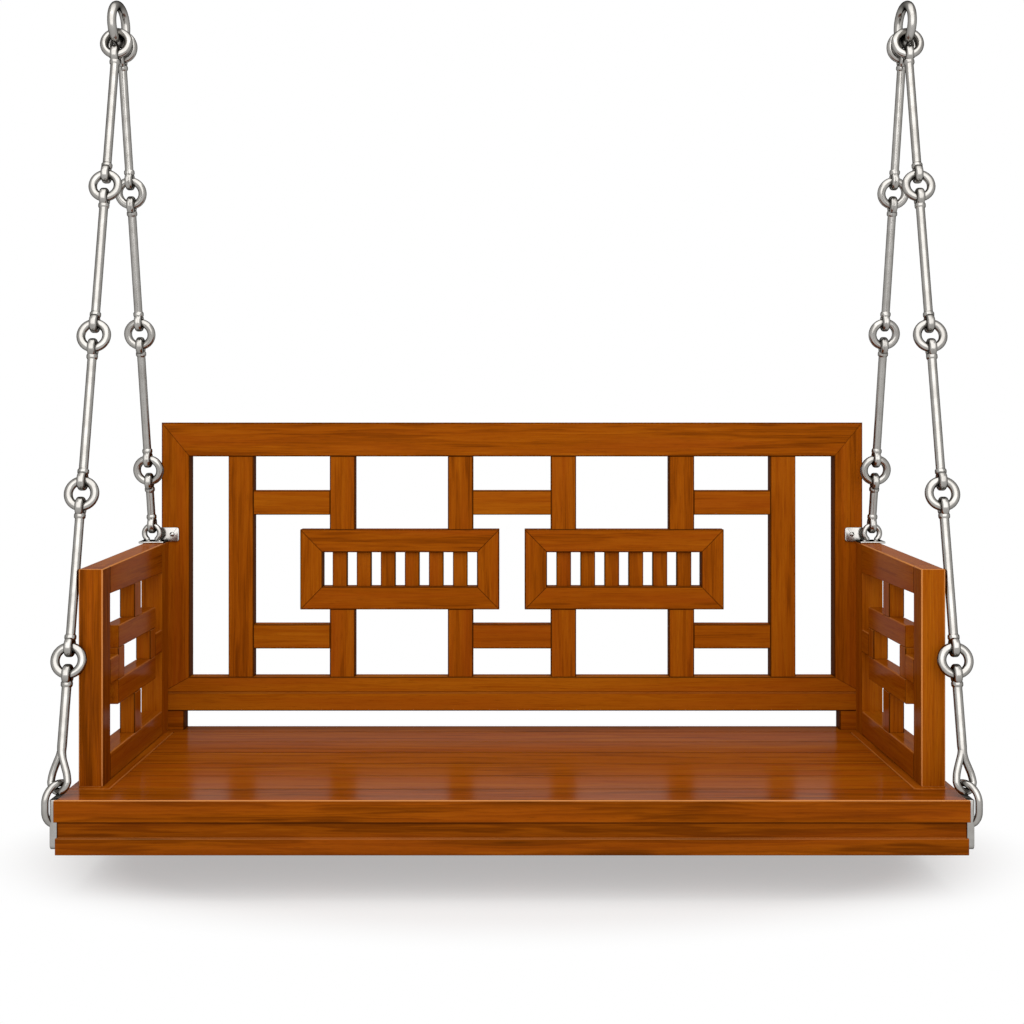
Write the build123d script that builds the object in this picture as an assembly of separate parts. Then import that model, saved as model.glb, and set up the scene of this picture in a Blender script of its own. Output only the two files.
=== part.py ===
"""Jhoola: a hanging wooden bench carried by four chains of steel rods and rings."""

import os
from math import cos, radians, sin, sqrt

from build123d import *

os.makedirs("parts", exist_ok=True)

# Frame: X across the bench, Y from front to rear, Z up. Origin at the middle of the seat's underside.

# Seat
SEAT_W = 1524.0
SEAT_D = 600.0
SEAT_H = 92.0
BOARD_T = 37.0
FRONT_BOARD_D = 76.0
REAR_BOARD_D = 60.0
END_BOARD_W = 72.0
PLANK_T = 22.0
PLANK_COUNT = 5
APRON_T = 30.0
APRON_SIDE_T = 24.0
APRON_STEP_Z = 28.0
APRON_SET_IN = 6.0
APRON_LOW_SET_IN = 1.0
APRON_END_IN = 5.0
APRON_LOW_END_IN = 2.4
BEARER_W = 45.0
BEARER_COUNT = 5
END_BEARER_IN = 23.0
EDGE = 1.6

# Back
BACK_END_IN = 42.4
BACK_REAR_IN = 40.0
BACK_T = 36.0
BACK_TOP_Z = 723.2
BACK_BASE_Z = 130.9
BASE_RAIL_H = 37.8
BOTTOM_RAIL_H = 32.0
TOP_RAIL_H = 69.8
STILE_W = 57.5
LEG_W = 46.6
BAR_W = 52.0
BAR_SET_BACK = 2.0
BAR_X = (105.9, 348.6, 556.8)
CROSS_H = 50.0
CROSS_Z = (283.5, 558.5)
PANEL_X = 230.6
PANEL_W = 409.0
PANEL_Z0 = 339.0
PANEL_Z1 = 503.5
PANEL_STILE_W = 46.0
PANEL_RAIL_H = 47.0
SLAT_COUNT = 6
SLAT_W = 30.0
SLAT_T = 19.0

# Arms
ARM_END_IN = 56.0
ARM_T = 42.0
ARM_FRONT_IN = 92.0
ARM_TOP_FRONT = 467.0
ARM_TOP_REAR = 479.0
ARM_FRONT_W = 48.0
ARM_REAR_W = 50.0
ARM_LOW_Z = 140.0
ARM_HIGH_Z = 420.0
LATTICE_T = 29.0
RING_FRAME_L = 264.0
RING_FRAME_Z = (215.0, 260.0, 316.0, 357.0)
RING_FRAME_SIDE = 39.0
TIE_W = 44.0
TIE_Z = (260.0, 305.0)

# Chains
GAP = 0.3
HANG_GAP = 0.75
HANG_END_IN = 11.0
HANG_Y = 56.0
HANG_Z = 1482.0
TOP_RING_YAW = 6.0
TOP_RING_R = 35.5
TOP_RING_WIRE = 17.0
RING_R = 23.25
RING_WIRE = 15.5
EYE_THICK = 9.4
EYE_R = 12.95
EYE_WIDE = 14.0
EYE_CORNER = 4.6
EYE_GAP = 0.5
LOOP_GAP = 0.75
ROD_D = 16.0
COLLAR_D = 20.0
FRONT_PITCH = 290.5
FRONT_RINGS = 5
REAR_PITCH = 277.0
REAR_RINGS = 4

# Front hook and its side plate
PLATE_LET_IN = 5.0
PLATE_T = 12.0
PLATE_FRONT_IN = 3.0
PLATE_L = 53.0
PLATE_Z0 = 8.0
HOOK_WIRE = 12.0
HOOK_YAW = 36.0
HOOK_R = 28.0
HOOK_FOOT_R = 26.0
HOOK_OUT = 13.6
HOOK_FRONT_IN = 23.0
HOOK_RISE = 23.0
HOOK_FOOT_L = 14.0
TEAR_R = 16.5
TEAR_WIRE = 12.5
TEAR_DROP = 13.4
TEAR_TURN = 20.0

# Rear bracket
BRACKET_T = 4.0
BRACKET_W = 50.0
BRACKET_L = 42.0
TAB_IN = 23.0
TAB_OUT = 15.0
TAB_H = 29.0
LOOP_OUT = 29.0
LOOP_FRONT = 15.0
LOOP_H = 33.5
LOOP_R = 15.5
LOOP_WIRE = 11.0

# Screws
SHANK_D = 5.0
HEAD_D = 10.0
HEAD_H = 3.2
SLOT_W = 1.4
PLATE_SCREW_REAR_IN = 14.0
PLATE_SCREW_Z = (20.0, 44.0, 75.0)
PLATE_SCREW_L = 34.0
TAB_SCREW_IN = 9.0
TAB_SCREW_H = 15.0
TAB_SCREW_L = 30.0
LEG_SCREW_OUT = (10.0, 32.0)
LEG_SCREW_REAR_IN = 33.0
LEG_SCREW_L = 28.0

SEAT_X = SEAT_W / 2
SEAT_Y = SEAT_D / 2
BOARD_Z = SEAT_H - BOARD_T
PLANK_Z = SEAT_H - PLANK_T
PLANK_Y0 = -SEAT_Y + FRONT_BOARD_D
PLANK_Y1 = SEAT_Y - REAR_BOARD_D
INNER_X = SEAT_X - END_BOARD_W
BACK_X = SEAT_X - BACK_END_IN
BACK_Y = SEAT_Y - BACK_REAR_IN
BACK_Y1 = BACK_Y + BACK_T
STILE_X = BACK_X - STILE_W
FRAME_Z0 = BACK_BASE_Z + BASE_RAIL_H
OPEN_Z0 = FRAME_Z0 + BOTTOM_RAIL_H
OPEN_Z1 = BACK_TOP_Z - TOP_RAIL_H
ARM_X0 = SEAT_X - ARM_END_IN
ARM_Y0 = -SEAT_Y + ARM_FRONT_IN
ARM_Y1 = BACK_Y
PLATE_X = SEAT_X - PLATE_LET_IN
PLATE_Y0 = -SEAT_Y + PLATE_FRONT_IN
PLATE_Y1 = PLATE_Y0 + PLATE_L
HOOK_Y = -SEAT_Y + HOOK_FRONT_IN
HOOK_Z = SEAT_H + HOOK_RISE
LOOP_X = ARM_X0 + LOOP_OUT
LOOP_Y = ARM_Y1 - LOOP_FRONT
LOOP_Z = ARM_TOP_REAR + LOOP_H
TAB_SCREW_X = ARM_X0 - TAB_SCREW_IN
TAB_SCREW_Z = ARM_TOP_REAR + TAB_SCREW_H
LEG_SCREW_Y = ARM_Y1 - LEG_SCREW_REAR_IN


def save(name, shape):
    """Write one node."""
    shape.label = name
    export_step(shape, f"parts/{name}.step")


def group(name, solids):
    """Write a node that holds repeats of one piece."""
    save(name, Compound(children=list(solids)))


def block(x0, x1, y0, y1, z0, z1):
    """Box between two corners."""
    middle = Pos((x0 + x1) / 2, (y0 + y1) / 2, (z0 + z1) / 2)
    return middle * Box(abs(x1 - x0), abs(y1 - y0), abs(z1 - z0))


def side_block(side, x0, x1, y0, y1, z0, z1):
    """Box on one side of the bench, its X given as distances from the middle."""
    ends = sorted((side * x0, side * x1))
    return block(ends[0], ends[1], y0, y1, z0, z1)


def eased(solid, axis, size=EDGE):
    """Piece with its edges along one axis chamfered."""
    return chamfer(solid.edges().filter_by(axis), size)


def panel(points, y0, y1):
    """Outline in X and Z made solid from y0 to y1."""
    outline = make_face(Polyline(*points, close=True))
    return extrude(Plane((0, y1, 0), x_dir=(1, 0, 0), z_dir=(0, -1, 0)) * outline, y1 - y0)


def profile(points, x0, x1):
    """Outline in Y and Z made solid from x0 to x1."""
    outline = make_face(Polyline(*points, close=True))
    return extrude(Plane((x0, 0, 0), x_dir=(0, 1, 0), z_dir=(1, 0, 0)) * outline, x1 - x0)


def bar_along(axis, diameter, start, end):
    """Round bar along X, Y or Z between two points."""
    middle = (Vector(*start) + Vector(*end)) / 2
    length = (Vector(*end) - Vector(*start)).length
    turn = {"X": Rot(0, 90, 0), "Y": Rot(90, 0, 0), "Z": Rot(0, 0, 0)}[axis]
    return Pos(middle.X, middle.Y, middle.Z) * turn * Cylinder(diameter / 2, length)


def screw(length):
    """Round-head screw along Z, head up, the head's underside at the origin."""
    radius = (HEAD_D * HEAD_D / 4 + HEAD_H * HEAD_H) / (2 * HEAD_H)
    ball = Pos(0, 0, HEAD_H - radius) * Sphere(radius)
    head = ball & Pos(0, 0, HEAD_H / 2) * Box(HEAD_D + 2, HEAD_D + 2, HEAD_H)
    slot = Pos(0, 0, HEAD_H) * Box(HEAD_D + 2, SLOT_W, HEAD_H)
    shank = Pos(0, 0, -length / 2) * Cylinder(SHANK_D / 2, length)
    return head - slot + shank


def frame_rail(x0, x1, z_out, z_in, inset, y0, y1):
    """Rail of a mitred frame, long on its outer edge and shorter by the inset on its inner edge."""
    points = [(x0, z_out), (x1, z_out), (x1 - inset, z_in), (x0 + inset, z_in)]
    return eased(panel(points, y0, y1), Axis.X)


def frame_stile(x_out, x_in, z_out, z_in, y0, y1):
    """Stile of a mitred frame between the outer and the inner corners."""
    points = [(x_out, z_out[0]), (x_out, z_out[1]), (x_in, z_in[1]), (x_in, z_in[0])]
    return eased(panel(points, y0, y1), Axis.Z)


# ---------------------------------------------------------------- seat

screw_axes = [(PLATE_Y1 - PLATE_SCREW_REAR_IN, z) for z in PLATE_SCREW_Z]


def plate_recess(side):
    """Room let into the seat's corner for the side plate, with its screw holes."""
    room = side_block(side, PLATE_X, PLATE_X + 30, PLATE_Y0, PLATE_Y1, PLATE_Z0, SEAT_H + 1)
    for y, z in screw_axes:
        start = (side * (PLATE_X - PLATE_SCREW_L + PLATE_T - GAP), y, z)
        room += bar_along("X", SHANK_D + GAP, start, (side * (PLATE_X + 5), y, z))
    return room


recesses = plate_recess(-1) + plate_recess(1)

front_board = block(-SEAT_X, SEAT_X, -SEAT_Y, PLANK_Y0, BOARD_Z, SEAT_H)
front_board = chamfer(front_board.faces().sort_by(Axis.Z)[-1].edges(), EDGE)
save("front_board", front_board - recesses)

rear_board = block(-SEAT_X, SEAT_X, PLANK_Y1, SEAT_Y, BOARD_Z, SEAT_H)
save("rear_board", chamfer(rear_board.faces().sort_by(Axis.Z)[-1].edges(), EDGE))

for side, word in ((-1, "left"), (1, "right")):
    end_board = side_block(side, INNER_X, SEAT_X, PLANK_Y0, PLANK_Y1, BOARD_Z, SEAT_H)
    end_board = chamfer(end_board.faces().sort_by(Axis.Z)[-1].edges(), EDGE)
    save(f"{word}_end_board", end_board)

plank_d = (PLANK_Y1 - PLANK_Y0) / PLANK_COUNT
for i in range(PLANK_COUNT):
    y0 = PLANK_Y0 + i * plank_d
    plank = block(-INNER_X, INNER_X, y0, y0 + plank_d, PLANK_Z, SEAT_H)
    plank = chamfer(plank.faces().sort_by(Axis.Z)[-1].edges(), EDGE)
    save(f"seat_plank_{i + 1}", plank)

# The aprons carry the boards and step outwards in their lower part.
high_x = SEAT_X - APRON_END_IN
low_x = SEAT_X - APRON_LOW_END_IN
high_y = SEAT_Y - APRON_SET_IN
low_y = SEAT_Y - APRON_LOW_SET_IN
inner_y = SEAT_Y - APRON_T
side_x = high_x - APRON_SIDE_T

for side, word in ((-1, "front"), (1, "rear")):
    edge_ys = sorted((side * high_y, side * inner_y))
    high = block(-high_x, high_x, edge_ys[0], edge_ys[1], APRON_STEP_Z, BOARD_Z)
    edge_ys = sorted((side * low_y, side * inner_y))
    low = block(-low_x, low_x, edge_ys[0], edge_ys[1], 0, APRON_STEP_Z)
    outer = low.edges().filter_by(Axis.X).group_by(Axis.Y)[0 if side < 0 else -1]
    low = chamfer(outer, 1.0)
    apron = high + low
    if side < 0:
        apron -= recesses
    save(f"{word}_apron", apron)

for side, word in ((-1, "left"), (1, "right")):
    high = side_block(side, side_x, high_x, -inner_y, inner_y, APRON_STEP_Z, BOARD_Z)
    low = side_block(side, side_x, low_x, -inner_y, inner_y, 0, APRON_STEP_Z)
    save(f"{word}_side_apron", (high + low) - recesses)

end_bearer_x = INNER_X - END_BEARER_IN
bearer_pitch = 2 * end_bearer_x / (BEARER_COUNT - 1)
bearers = []
for i in range(BEARER_COUNT):
    x0 = -end_bearer_x + i * bearer_pitch - BEARER_W / 2
    low = block(x0, x0 + BEARER_W, -inner_y, inner_y, 0, BOARD_Z)
    bearers.append(low + block(x0, x0 + BEARER_W, PLANK_Y0, PLANK_Y1, BOARD_Z, PLANK_Z))
group("seat_bearers", bearers)

# ---------------------------------------------------------------- back

tab_hole = bar_along("Y", SHANK_D + GAP, (-TAB_SCREW_X, BACK_Y - 1, TAB_SCREW_Z),
                     (-TAB_SCREW_X, BACK_Y + TAB_SCREW_L - BRACKET_T + GAP, TAB_SCREW_Z))

back_top = frame_rail(-BACK_X, BACK_X, BACK_TOP_Z, OPEN_Z1, STILE_W, BACK_Y, BACK_Y1)
save("back_top_rail", back_top)
back_bottom = frame_rail(-BACK_X, BACK_X, FRAME_Z0, OPEN_Z0, STILE_W, BACK_Y, BACK_Y1)
save("back_bottom_rail", back_bottom)
base_rail = block(-BACK_X, BACK_X, BACK_Y, BACK_Y1, BACK_BASE_Z, FRAME_Z0)
save("back_base_rail", eased(base_rail, Axis.X))

for side, word in ((-1, "left"), (1, "right")):
    stile = frame_stile(-BACK_X, -STILE_X, (FRAME_Z0, BACK_TOP_Z), (OPEN_Z0, OPEN_Z1), BACK_Y, BACK_Y1)
    stile -= tab_hole
    save(f"{word}_back_stile", stile if side < 0 else mirror(stile, about=Plane.YZ))

legs = []
for side in (-1, 1):
    leg = side_block(side, BACK_X - LEG_W, BACK_X, BACK_Y, BACK_Y1, SEAT_H, BACK_BASE_Z)
    legs.append(eased(leg, Axis.Z))
group("back_legs", legs)

bar_y0 = BACK_Y + BAR_SET_BACK
bar_y1 = BACK_Y1 - BAR_SET_BACK


def upright(x, z0, z1):
    """Vertical bar of the lattice."""
    return eased(block(x - BAR_W / 2, x + BAR_W / 2, bar_y0, bar_y1, z0, z1), Axis.Z)


for side, word in ((-1, "left"), (1, "right")):
    save(f"{word}_outer_upright", upright(side * BAR_X[2], OPEN_Z0, OPEN_Z1))

short_uprights = []
for x in (-BAR_X[1], -BAR_X[0], BAR_X[0], BAR_X[1]):
    short_uprights.append(upright(x, OPEN_Z0, PANEL_Z0))
    short_uprights.append(upright(x, PANEL_Z1, OPEN_Z1))
group("short_uprights", short_uprights)

half = BAR_W / 2
spans = ((-BAR_X[2] + half, -BAR_X[1] - half), (-BAR_X[0] + half, BAR_X[0] - half),
         (BAR_X[1] + half, BAR_X[2] - half))
cross_bars = []
for x0, x1 in spans:
    for z in CROSS_Z:
        bar = block(x0, x1, bar_y0, bar_y1, z - CROSS_H / 2, z + CROSS_H / 2)
        cross_bars.append(eased(bar, Axis.X))
group("cross_bars", cross_bars)

slat_gap = (PANEL_W - 2 * PANEL_STILE_W - SLAT_COUNT * SLAT_W) / (SLAT_COUNT + 1)
slat_z = (PANEL_Z0 + PANEL_RAIL_H, PANEL_Z1 - PANEL_RAIL_H)
slat_y = BACK_Y + (BACK_T - SLAT_T) / 2
for side, word in ((-1, "left"), (1, "right")):
    x0 = side * PANEL_X - PANEL_W / 2
    x1 = x0 + PANEL_W
    rails = [frame_rail(x0, x1, PANEL_Z0, slat_z[0], PANEL_STILE_W, BACK_Y, BACK_Y1),
             frame_rail(x0, x1, PANEL_Z1, slat_z[1], PANEL_STILE_W, BACK_Y, BACK_Y1)]
    group(f"{word}_panel_rails", rails)
    outer = (PANEL_Z0, PANEL_Z1)
    stiles = [frame_stile(x0, x0 + PANEL_STILE_W, outer, slat_z, BACK_Y, BACK_Y1),
              frame_stile(x1, x1 - PANEL_STILE_W, outer, slat_z, BACK_Y, BACK_Y1)]
    group(f"{word}_panel_stiles", stiles)
    slats = []
    for i in range(SLAT_COUNT):
        sx = x0 + PANEL_STILE_W + slat_gap + i * (SLAT_W + slat_gap)
        slat = block(sx, sx + SLAT_W, slat_y, slat_y + SLAT_T, slat_z[0], slat_z[1])
        slats.append(eased(slat, Axis.Z, 1.0))
    group(f"{word}_slats", slats)

# ---------------------------------------------------------------- arms

arm_x1 = ARM_X0 + ARM_T
arm_slope = (ARM_TOP_REAR - ARM_TOP_FRONT) / (ARM_Y1 - ARM_Y0)
open_y0 = ARM_Y0 + ARM_FRONT_W
open_y1 = ARM_Y1 - ARM_REAR_W
ring_y = (open_y0 + open_y1) / 2
ring_y0 = ring_y - RING_FRAME_L / 2
ring_y1 = ring_y + RING_FRAME_L / 2


def arm_top(y):
    """Height of the arm's upper edge."""
    return ARM_TOP_FRONT + arm_slope * (y - ARM_Y0)


def arm_member(y0, y1, z0):
    """Member that reaches up to the sloping edge."""
    points = [(y0, z0), (y1, z0), (y1, arm_top(y1)), (y0, arm_top(y0))]
    return profile(points, ARM_X0, arm_x1)


def top_edges(solid):
    """Edges round the highest face."""
    return solid.faces().sort_by(Axis.Z)[-1].edges()


def long_edges(solid):
    """Edges of the highest face that run from front to rear."""
    return [e for e in top_edges(solid) if abs(e.tangent_at(0.5).Y) > 0.9]


leg_screw_xs = [ARM_X0 + out for out in LEG_SCREW_OUT]
leg_screw_z = arm_top(LEG_SCREW_Y)
leg_holes = None
for x in leg_screw_xs:
    hole = bar_along("Z", SHANK_D + GAP, (x, LEG_SCREW_Y, leg_screw_z - LEG_SCREW_L + BRACKET_T - 1),
                     (x, LEG_SCREW_Y, leg_screw_z + 1))
    leg_holes = hole if leg_holes is None else leg_holes + hole

front_stile = arm_member(ARM_Y0, open_y0, SEAT_H)
front_stile = eased(front_stile, Axis.Z)
front_stile = chamfer(long_edges(front_stile), EDGE)
rear_stile = arm_member(open_y1, ARM_Y1, SEAT_H)
rear_stile = chamfer(long_edges(rear_stile), EDGE) - leg_holes
arm_rail = arm_member(open_y0, open_y1, ARM_HIGH_Z)
arm_rail = chamfer(long_edges(arm_rail), EDGE)
foot_rail = eased(block(ARM_X0, arm_x1, open_y0, open_y1, SEAT_H, ARM_LOW_Z), Axis.Y)

lat_x1 = ARM_X0 + LATTICE_T
zr = RING_FRAME_Z
side_y = RING_FRAME_SIDE
lattice = [
    eased(block(ARM_X0, lat_x1, ring_y0, ring_y1, zr[0], zr[1]), Axis.Y),
    eased(block(ARM_X0, lat_x1, ring_y0, ring_y1, zr[2], zr[3]), Axis.Y),
    eased(block(ARM_X0, lat_x1, ring_y0, ring_y0 + side_y, zr[1], zr[2]), Axis.Z),
    eased(block(ARM_X0, lat_x1, ring_y1 - side_y, ring_y1, zr[1], zr[2]), Axis.Z),
    eased(block(ARM_X0, lat_x1, ring_y - TIE_W / 2, ring_y + TIE_W / 2, zr[3], ARM_HIGH_Z), Axis.Z),
    eased(block(ARM_X0, lat_x1, ring_y - TIE_W / 2, ring_y + TIE_W / 2, ARM_LOW_Z, zr[0]), Axis.Z),
    eased(block(ARM_X0, lat_x1, open_y0, ring_y0, TIE_Z[0], TIE_Z[1]), Axis.Y),
    eased(block(ARM_X0, lat_x1, ring_y1, open_y1, TIE_Z[0], TIE_Z[1]), Axis.Y),
]

arm_parts = {"arm_front_stile": front_stile, "arm_rear_stile": rear_stile,
             "arm_top_rail": arm_rail, "arm_foot_rail": foot_rail}
for side, word in ((-1, "left"), (1, "right")):
    for name, piece in arm_parts.items():
        save(f"{word}_{name}", piece if side > 0 else mirror(piece, about=Plane.YZ))
    flipped = lattice if side > 0 else [mirror(piece, about=Plane.YZ) for piece in lattice]
    group(f"{word}_arm_lattice", flipped)

# ---------------------------------------------------------------- chains

ride = TOP_RING_R - TOP_RING_WIRE / 2 - RING_WIRE / 2 - HANG_GAP
ring_side = (RING_WIRE + GAP) / 2 / cos(radians(TOP_RING_YAW))
ring_drop = sqrt(ride * ride - ring_side * ring_side)
eye_drop = RING_R + EYE_R - (RING_WIRE / 2 + EYE_THICK / 2 + EYE_GAP)


def chain_frame(start, end):
    """Frame at the chain's first link, its Z running back up the chain."""
    up = (start - end).normalized()
    across = Vector(1, 0, 0) - up * up.X
    return Plane(origin=start, x_dir=across.normalized(), z_dir=up)


def ring(z):
    """Chain ring whose hole faces the front."""
    return Pos(0, 0, z) * Rot(90, 0, 0) * Torus(RING_R, RING_WIRE / 2)


def eye(z):
    """Rod eye whose hole faces sideways."""
    section = Plane.XZ * Pos(0, EYE_R) * RectangleRounded(EYE_WIDE, EYE_THICK, EYE_CORNER)
    return Pos(0, 0, z) * revolve(section, Axis.X, 360)


def collar(z, way):
    """Shoulder between an eye centred at z and its rod, which leaves it downwards or upwards."""
    neck = Pos(0, 0, z + way * 16.5) * Cylinder(COLLAR_D / 2, 8)
    taper = Cone(COLLAR_D / 2, ROD_D / 2, 2)
    turn = Rot(0, 0, 0) if way > 0 else Rot(180, 0, 0)
    return neck + Pos(0, 0, z + way * 21.5) * turn * taper


def rod(z_top, z_low):
    """Rod with an eye at each end."""
    shaft = Pos(0, 0, (z_top + z_low) / 2) * Cylinder(ROD_D / 2, z_top - z_low - 2 * EYE_R)
    return eye(z_top) + eye(z_low) + collar(z_top, -1) + collar(z_low, 1) + shaft


def tear_rod(z_top, z_hook, turn_deg):
    """Rod with a round eye above and a bent teardrop eye that goes round the hook below."""
    zc = z_hook - TEAR_DROP + TEAR_R
    right = Spline((0, 0, zc + 44), (8.5, 0, zc + 25), (TEAR_R, 0, zc), tangents=((0, 0, -1), (0, 0, -1)))
    turn = ThreePointArc((TEAR_R, 0, zc), (0, 0, zc - TEAR_R), (-TEAR_R, 0, zc))
    left_points = [(-TEAR_R, 0, zc), (-11.5, 0, zc + 21), (-6.5, 0, zc + 34)]
    left = Spline(*left_points, tangents=((0, 0, 1), (0.3, 0, 1)))
    path = right + turn + left
    section = Plane((0, 0, zc + 44), z_dir=(0, 0, -1)) * Circle(TEAR_WIRE / 2)
    strand = Rot(0, 0, turn_deg) * sweep(section, path=path)
    neck = Pos(0, 0, zc + 48) * Cone(TEAR_WIRE / 2, ROD_D / 2, 8)
    z_end = zc + 52
    shaft = Pos(0, 0, (z_top - EYE_R + z_end) / 2) * Cylinder(ROD_D / 2, z_top - EYE_R - z_end)
    return eye(z_top) + collar(z_top, -1) + shaft + neck + strand


hook_out_x = SEAT_X + HOOK_OUT
hook_x = hook_out_x - HOOK_R * sin(radians(HOOK_YAW))
for side, word in ((-1, "left"), (1, "right")):
    # The top ring's rear edge turns a little towards the middle of the bench.
    middle = Vector(side * (SEAT_X - HANG_END_IN), HANG_Y, HANG_Z)
    yaw = side * TOP_RING_YAW
    top_ring = Rot(0, 0, yaw) * Rot(0, 90, 0) * Torus(TOP_RING_R, TOP_RING_WIRE / 2)
    save(f"{word}_top_ring", Pos(middle.X, middle.Y, middle.Z) * top_ring)

    rearward = Vector(-sin(radians(yaw)), cos(radians(yaw)), 0) * ring_side
    front_start = middle - rearward + Vector(0, 0, -ring_drop)
    front_end = Vector(side * hook_x, HOOK_Y, HOOK_Z)
    rear_start = middle + rearward + Vector(0, 0, -ring_drop)
    rear_end = Vector(side * LOOP_X, LOOP_Y, LOOP_Z)
    front = chain_frame(front_start, front_end).location
    rear = chain_frame(rear_start, rear_end).location

    for name, place, count, pitch in (("front", front, FRONT_RINGS, FRONT_PITCH),
                                      ("rear", rear, REAR_RINGS, REAR_PITCH)):
        rings = [place * ring(-RING_R - i * pitch) for i in range(count)]
        group(f"{word}_{name}_rings", rings)
        rods = []
        for i in range(count - 1):
            z_top = -RING_R - i * pitch - eye_drop
            rods.append(place * rod(z_top, z_top - pitch + 2 * eye_drop))
        group(f"{word}_{name}_rods", rods)

    z_top = -RING_R - (FRONT_RINGS - 1) * FRONT_PITCH - eye_drop
    save(f"{word}_hook_rod", front * tear_rod(z_top, -(front_start - front_end).length, side * TEAR_TURN))

    z_top = -RING_R - (REAR_RINGS - 1) * REAR_PITCH - eye_drop
    lift = EYE_R - (LOOP_WIRE / 2 + EYE_THICK / 2 + LOOP_GAP)
    save(f"{word}_short_rod", rear * rod(z_top, lift - (rear_start - rear_end).length))

# ---------------------------------------------------------------- fittings


def hook_point(u, z):
    """Point of the hook's upright plane, u running inwards and to the rear from its outermost point."""
    yaw = radians(HOOK_YAW)
    y_out = HOOK_Y - HOOK_R * cos(yaw)
    return (hook_out_x - u * sin(yaw), y_out + u * cos(yaw), z)


def hook_bar():
    """Bent bar of the right-hand hook, welded to the plate at its foot and open at its tip."""
    z_mid = HOOK_Z - HOOK_R
    foot_r = HOOK_FOOT_R
    z_foot = z_mid - HOOK_FOOT_L
    low = [hook_point(foot_r - foot_r * cos(radians(a)), z_foot - foot_r * sin(radians(a)))
           for a in (72, 36, 0)]
    high = [hook_point(HOOK_R - HOOK_R * cos(radians(a)), z_mid + HOOK_R * sin(radians(a)))
            for a in (0, 60, 120)]
    path = ThreePointArc(*low) + Line(low[2], high[0]) + ThreePointArc(*high)
    begin = path.edges()[0]
    section = Plane(origin=begin @ 0, z_dir=begin % 0) * Circle(HOOK_WIRE / 2)
    return sweep(section, path=path)


side_plate = block(PLATE_X, PLATE_X + PLATE_T, PLATE_Y0, PLATE_Y1, PLATE_Z0, SEAT_H)
lower = side_plate.edges().filter_by(Axis.X).group_by(Axis.Z)[0]
side_plate = fillet(lower, 9)
hook = side_plate + hook_bar()
for y, z in screw_axes:
    hook -= bar_along("X", SHANK_D + GAP, (PLATE_X - 1, y, z), (PLATE_X + PLATE_T + 1, y, z))

plate_y = ARM_Y1 - BRACKET_L
plate_z = arm_top(plate_y)
leg_points = [(plate_y, plate_z), (ARM_Y1, ARM_TOP_REAR), (ARM_Y1, ARM_TOP_REAR + BRACKET_T),
              (plate_y, plate_z + BRACKET_T)]
foot_plate = profile(leg_points, ARM_X0, ARM_X0 + BRACKET_W)
tab = block(ARM_X0 - TAB_IN, ARM_X0 + TAB_OUT, ARM_Y1 - BRACKET_T, ARM_Y1, ARM_TOP_REAR, ARM_TOP_REAR + TAB_H)
tab = fillet(tab.edges().filter_by(Axis.Y).group_by(Axis.X)[0], 5)
loop_z = LOOP_Z - LOOP_R
left_x = LOOP_X - LOOP_R
right_x = LOOP_X + LOOP_R
foot_z = ARM_TOP_REAR + 1
loop_path = Line((left_x, LOOP_Y, foot_z), (left_x, LOOP_Y, loop_z))
loop_path += ThreePointArc((left_x, LOOP_Y, loop_z), (LOOP_X, LOOP_Y, LOOP_Z), (right_x, LOOP_Y, loop_z))
loop_path += Line((right_x, LOOP_Y, loop_z), (right_x, LOOP_Y, foot_z))
loop_section = Plane((left_x, LOOP_Y, foot_z), z_dir=(0, 0, 1)) * Circle(LOOP_WIRE / 2)
bracket = foot_plate + tab + sweep(loop_section, path=loop_path)
for x in leg_screw_xs:
    bracket -= bar_along("Z", SHANK_D + GAP, (x, LEG_SCREW_Y, leg_screw_z - BRACKET_T),
                         (x, LEG_SCREW_Y, leg_screw_z + 2 * BRACKET_T))
bracket -= bar_along("Y", SHANK_D + GAP, (TAB_SCREW_X, ARM_Y1 - 2 * BRACKET_T, TAB_SCREW_Z),
                     (TAB_SCREW_X, ARM_Y1 + 1, TAB_SCREW_Z))

plate_screws = []
bracket_screws = []
for y, z in screw_axes:
    plate_screws.append(Pos(PLATE_X + PLATE_T, y, z) * Rot(0, 90, 0) * screw(PLATE_SCREW_L))
for x in leg_screw_xs:
    lean = Pos(x, LEG_SCREW_Y, leg_screw_z + BRACKET_T + 0.15)
    bracket_screws.append(lean * screw(LEG_SCREW_L))
tab_screw = Pos(TAB_SCREW_X, ARM_Y1 - BRACKET_T, TAB_SCREW_Z) * Rot(90, 0, 0)
bracket_screws.append(tab_screw * screw(TAB_SCREW_L))

for side, word in ((-1, "left"), (1, "right")):
    for name, piece in (("front_hook", hook), ("rear_bracket", bracket)):
        save(f"{word}_{name}", piece if side > 0 else mirror(piece, about=Plane.YZ))
mirrored = [mirror(piece, about=Plane.YZ) for piece in plate_screws]
group("hook_screws", mirrored + plate_screws)
mirrored = [mirror(piece, about=Plane.YZ) for piece in bracket_screws]
group("bracket_screws", mirrored + bracket_screws)
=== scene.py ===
"""Looks of a jhoola: a varnished teak bench hung on four chains of polished steel rods and rings."""

import logging
import random
from dataclasses import dataclass
from enum import Enum
from math import cos, pi, radians, sin, sqrt

import bmesh
import bpy
from mathutils import Matrix, Vector


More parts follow.
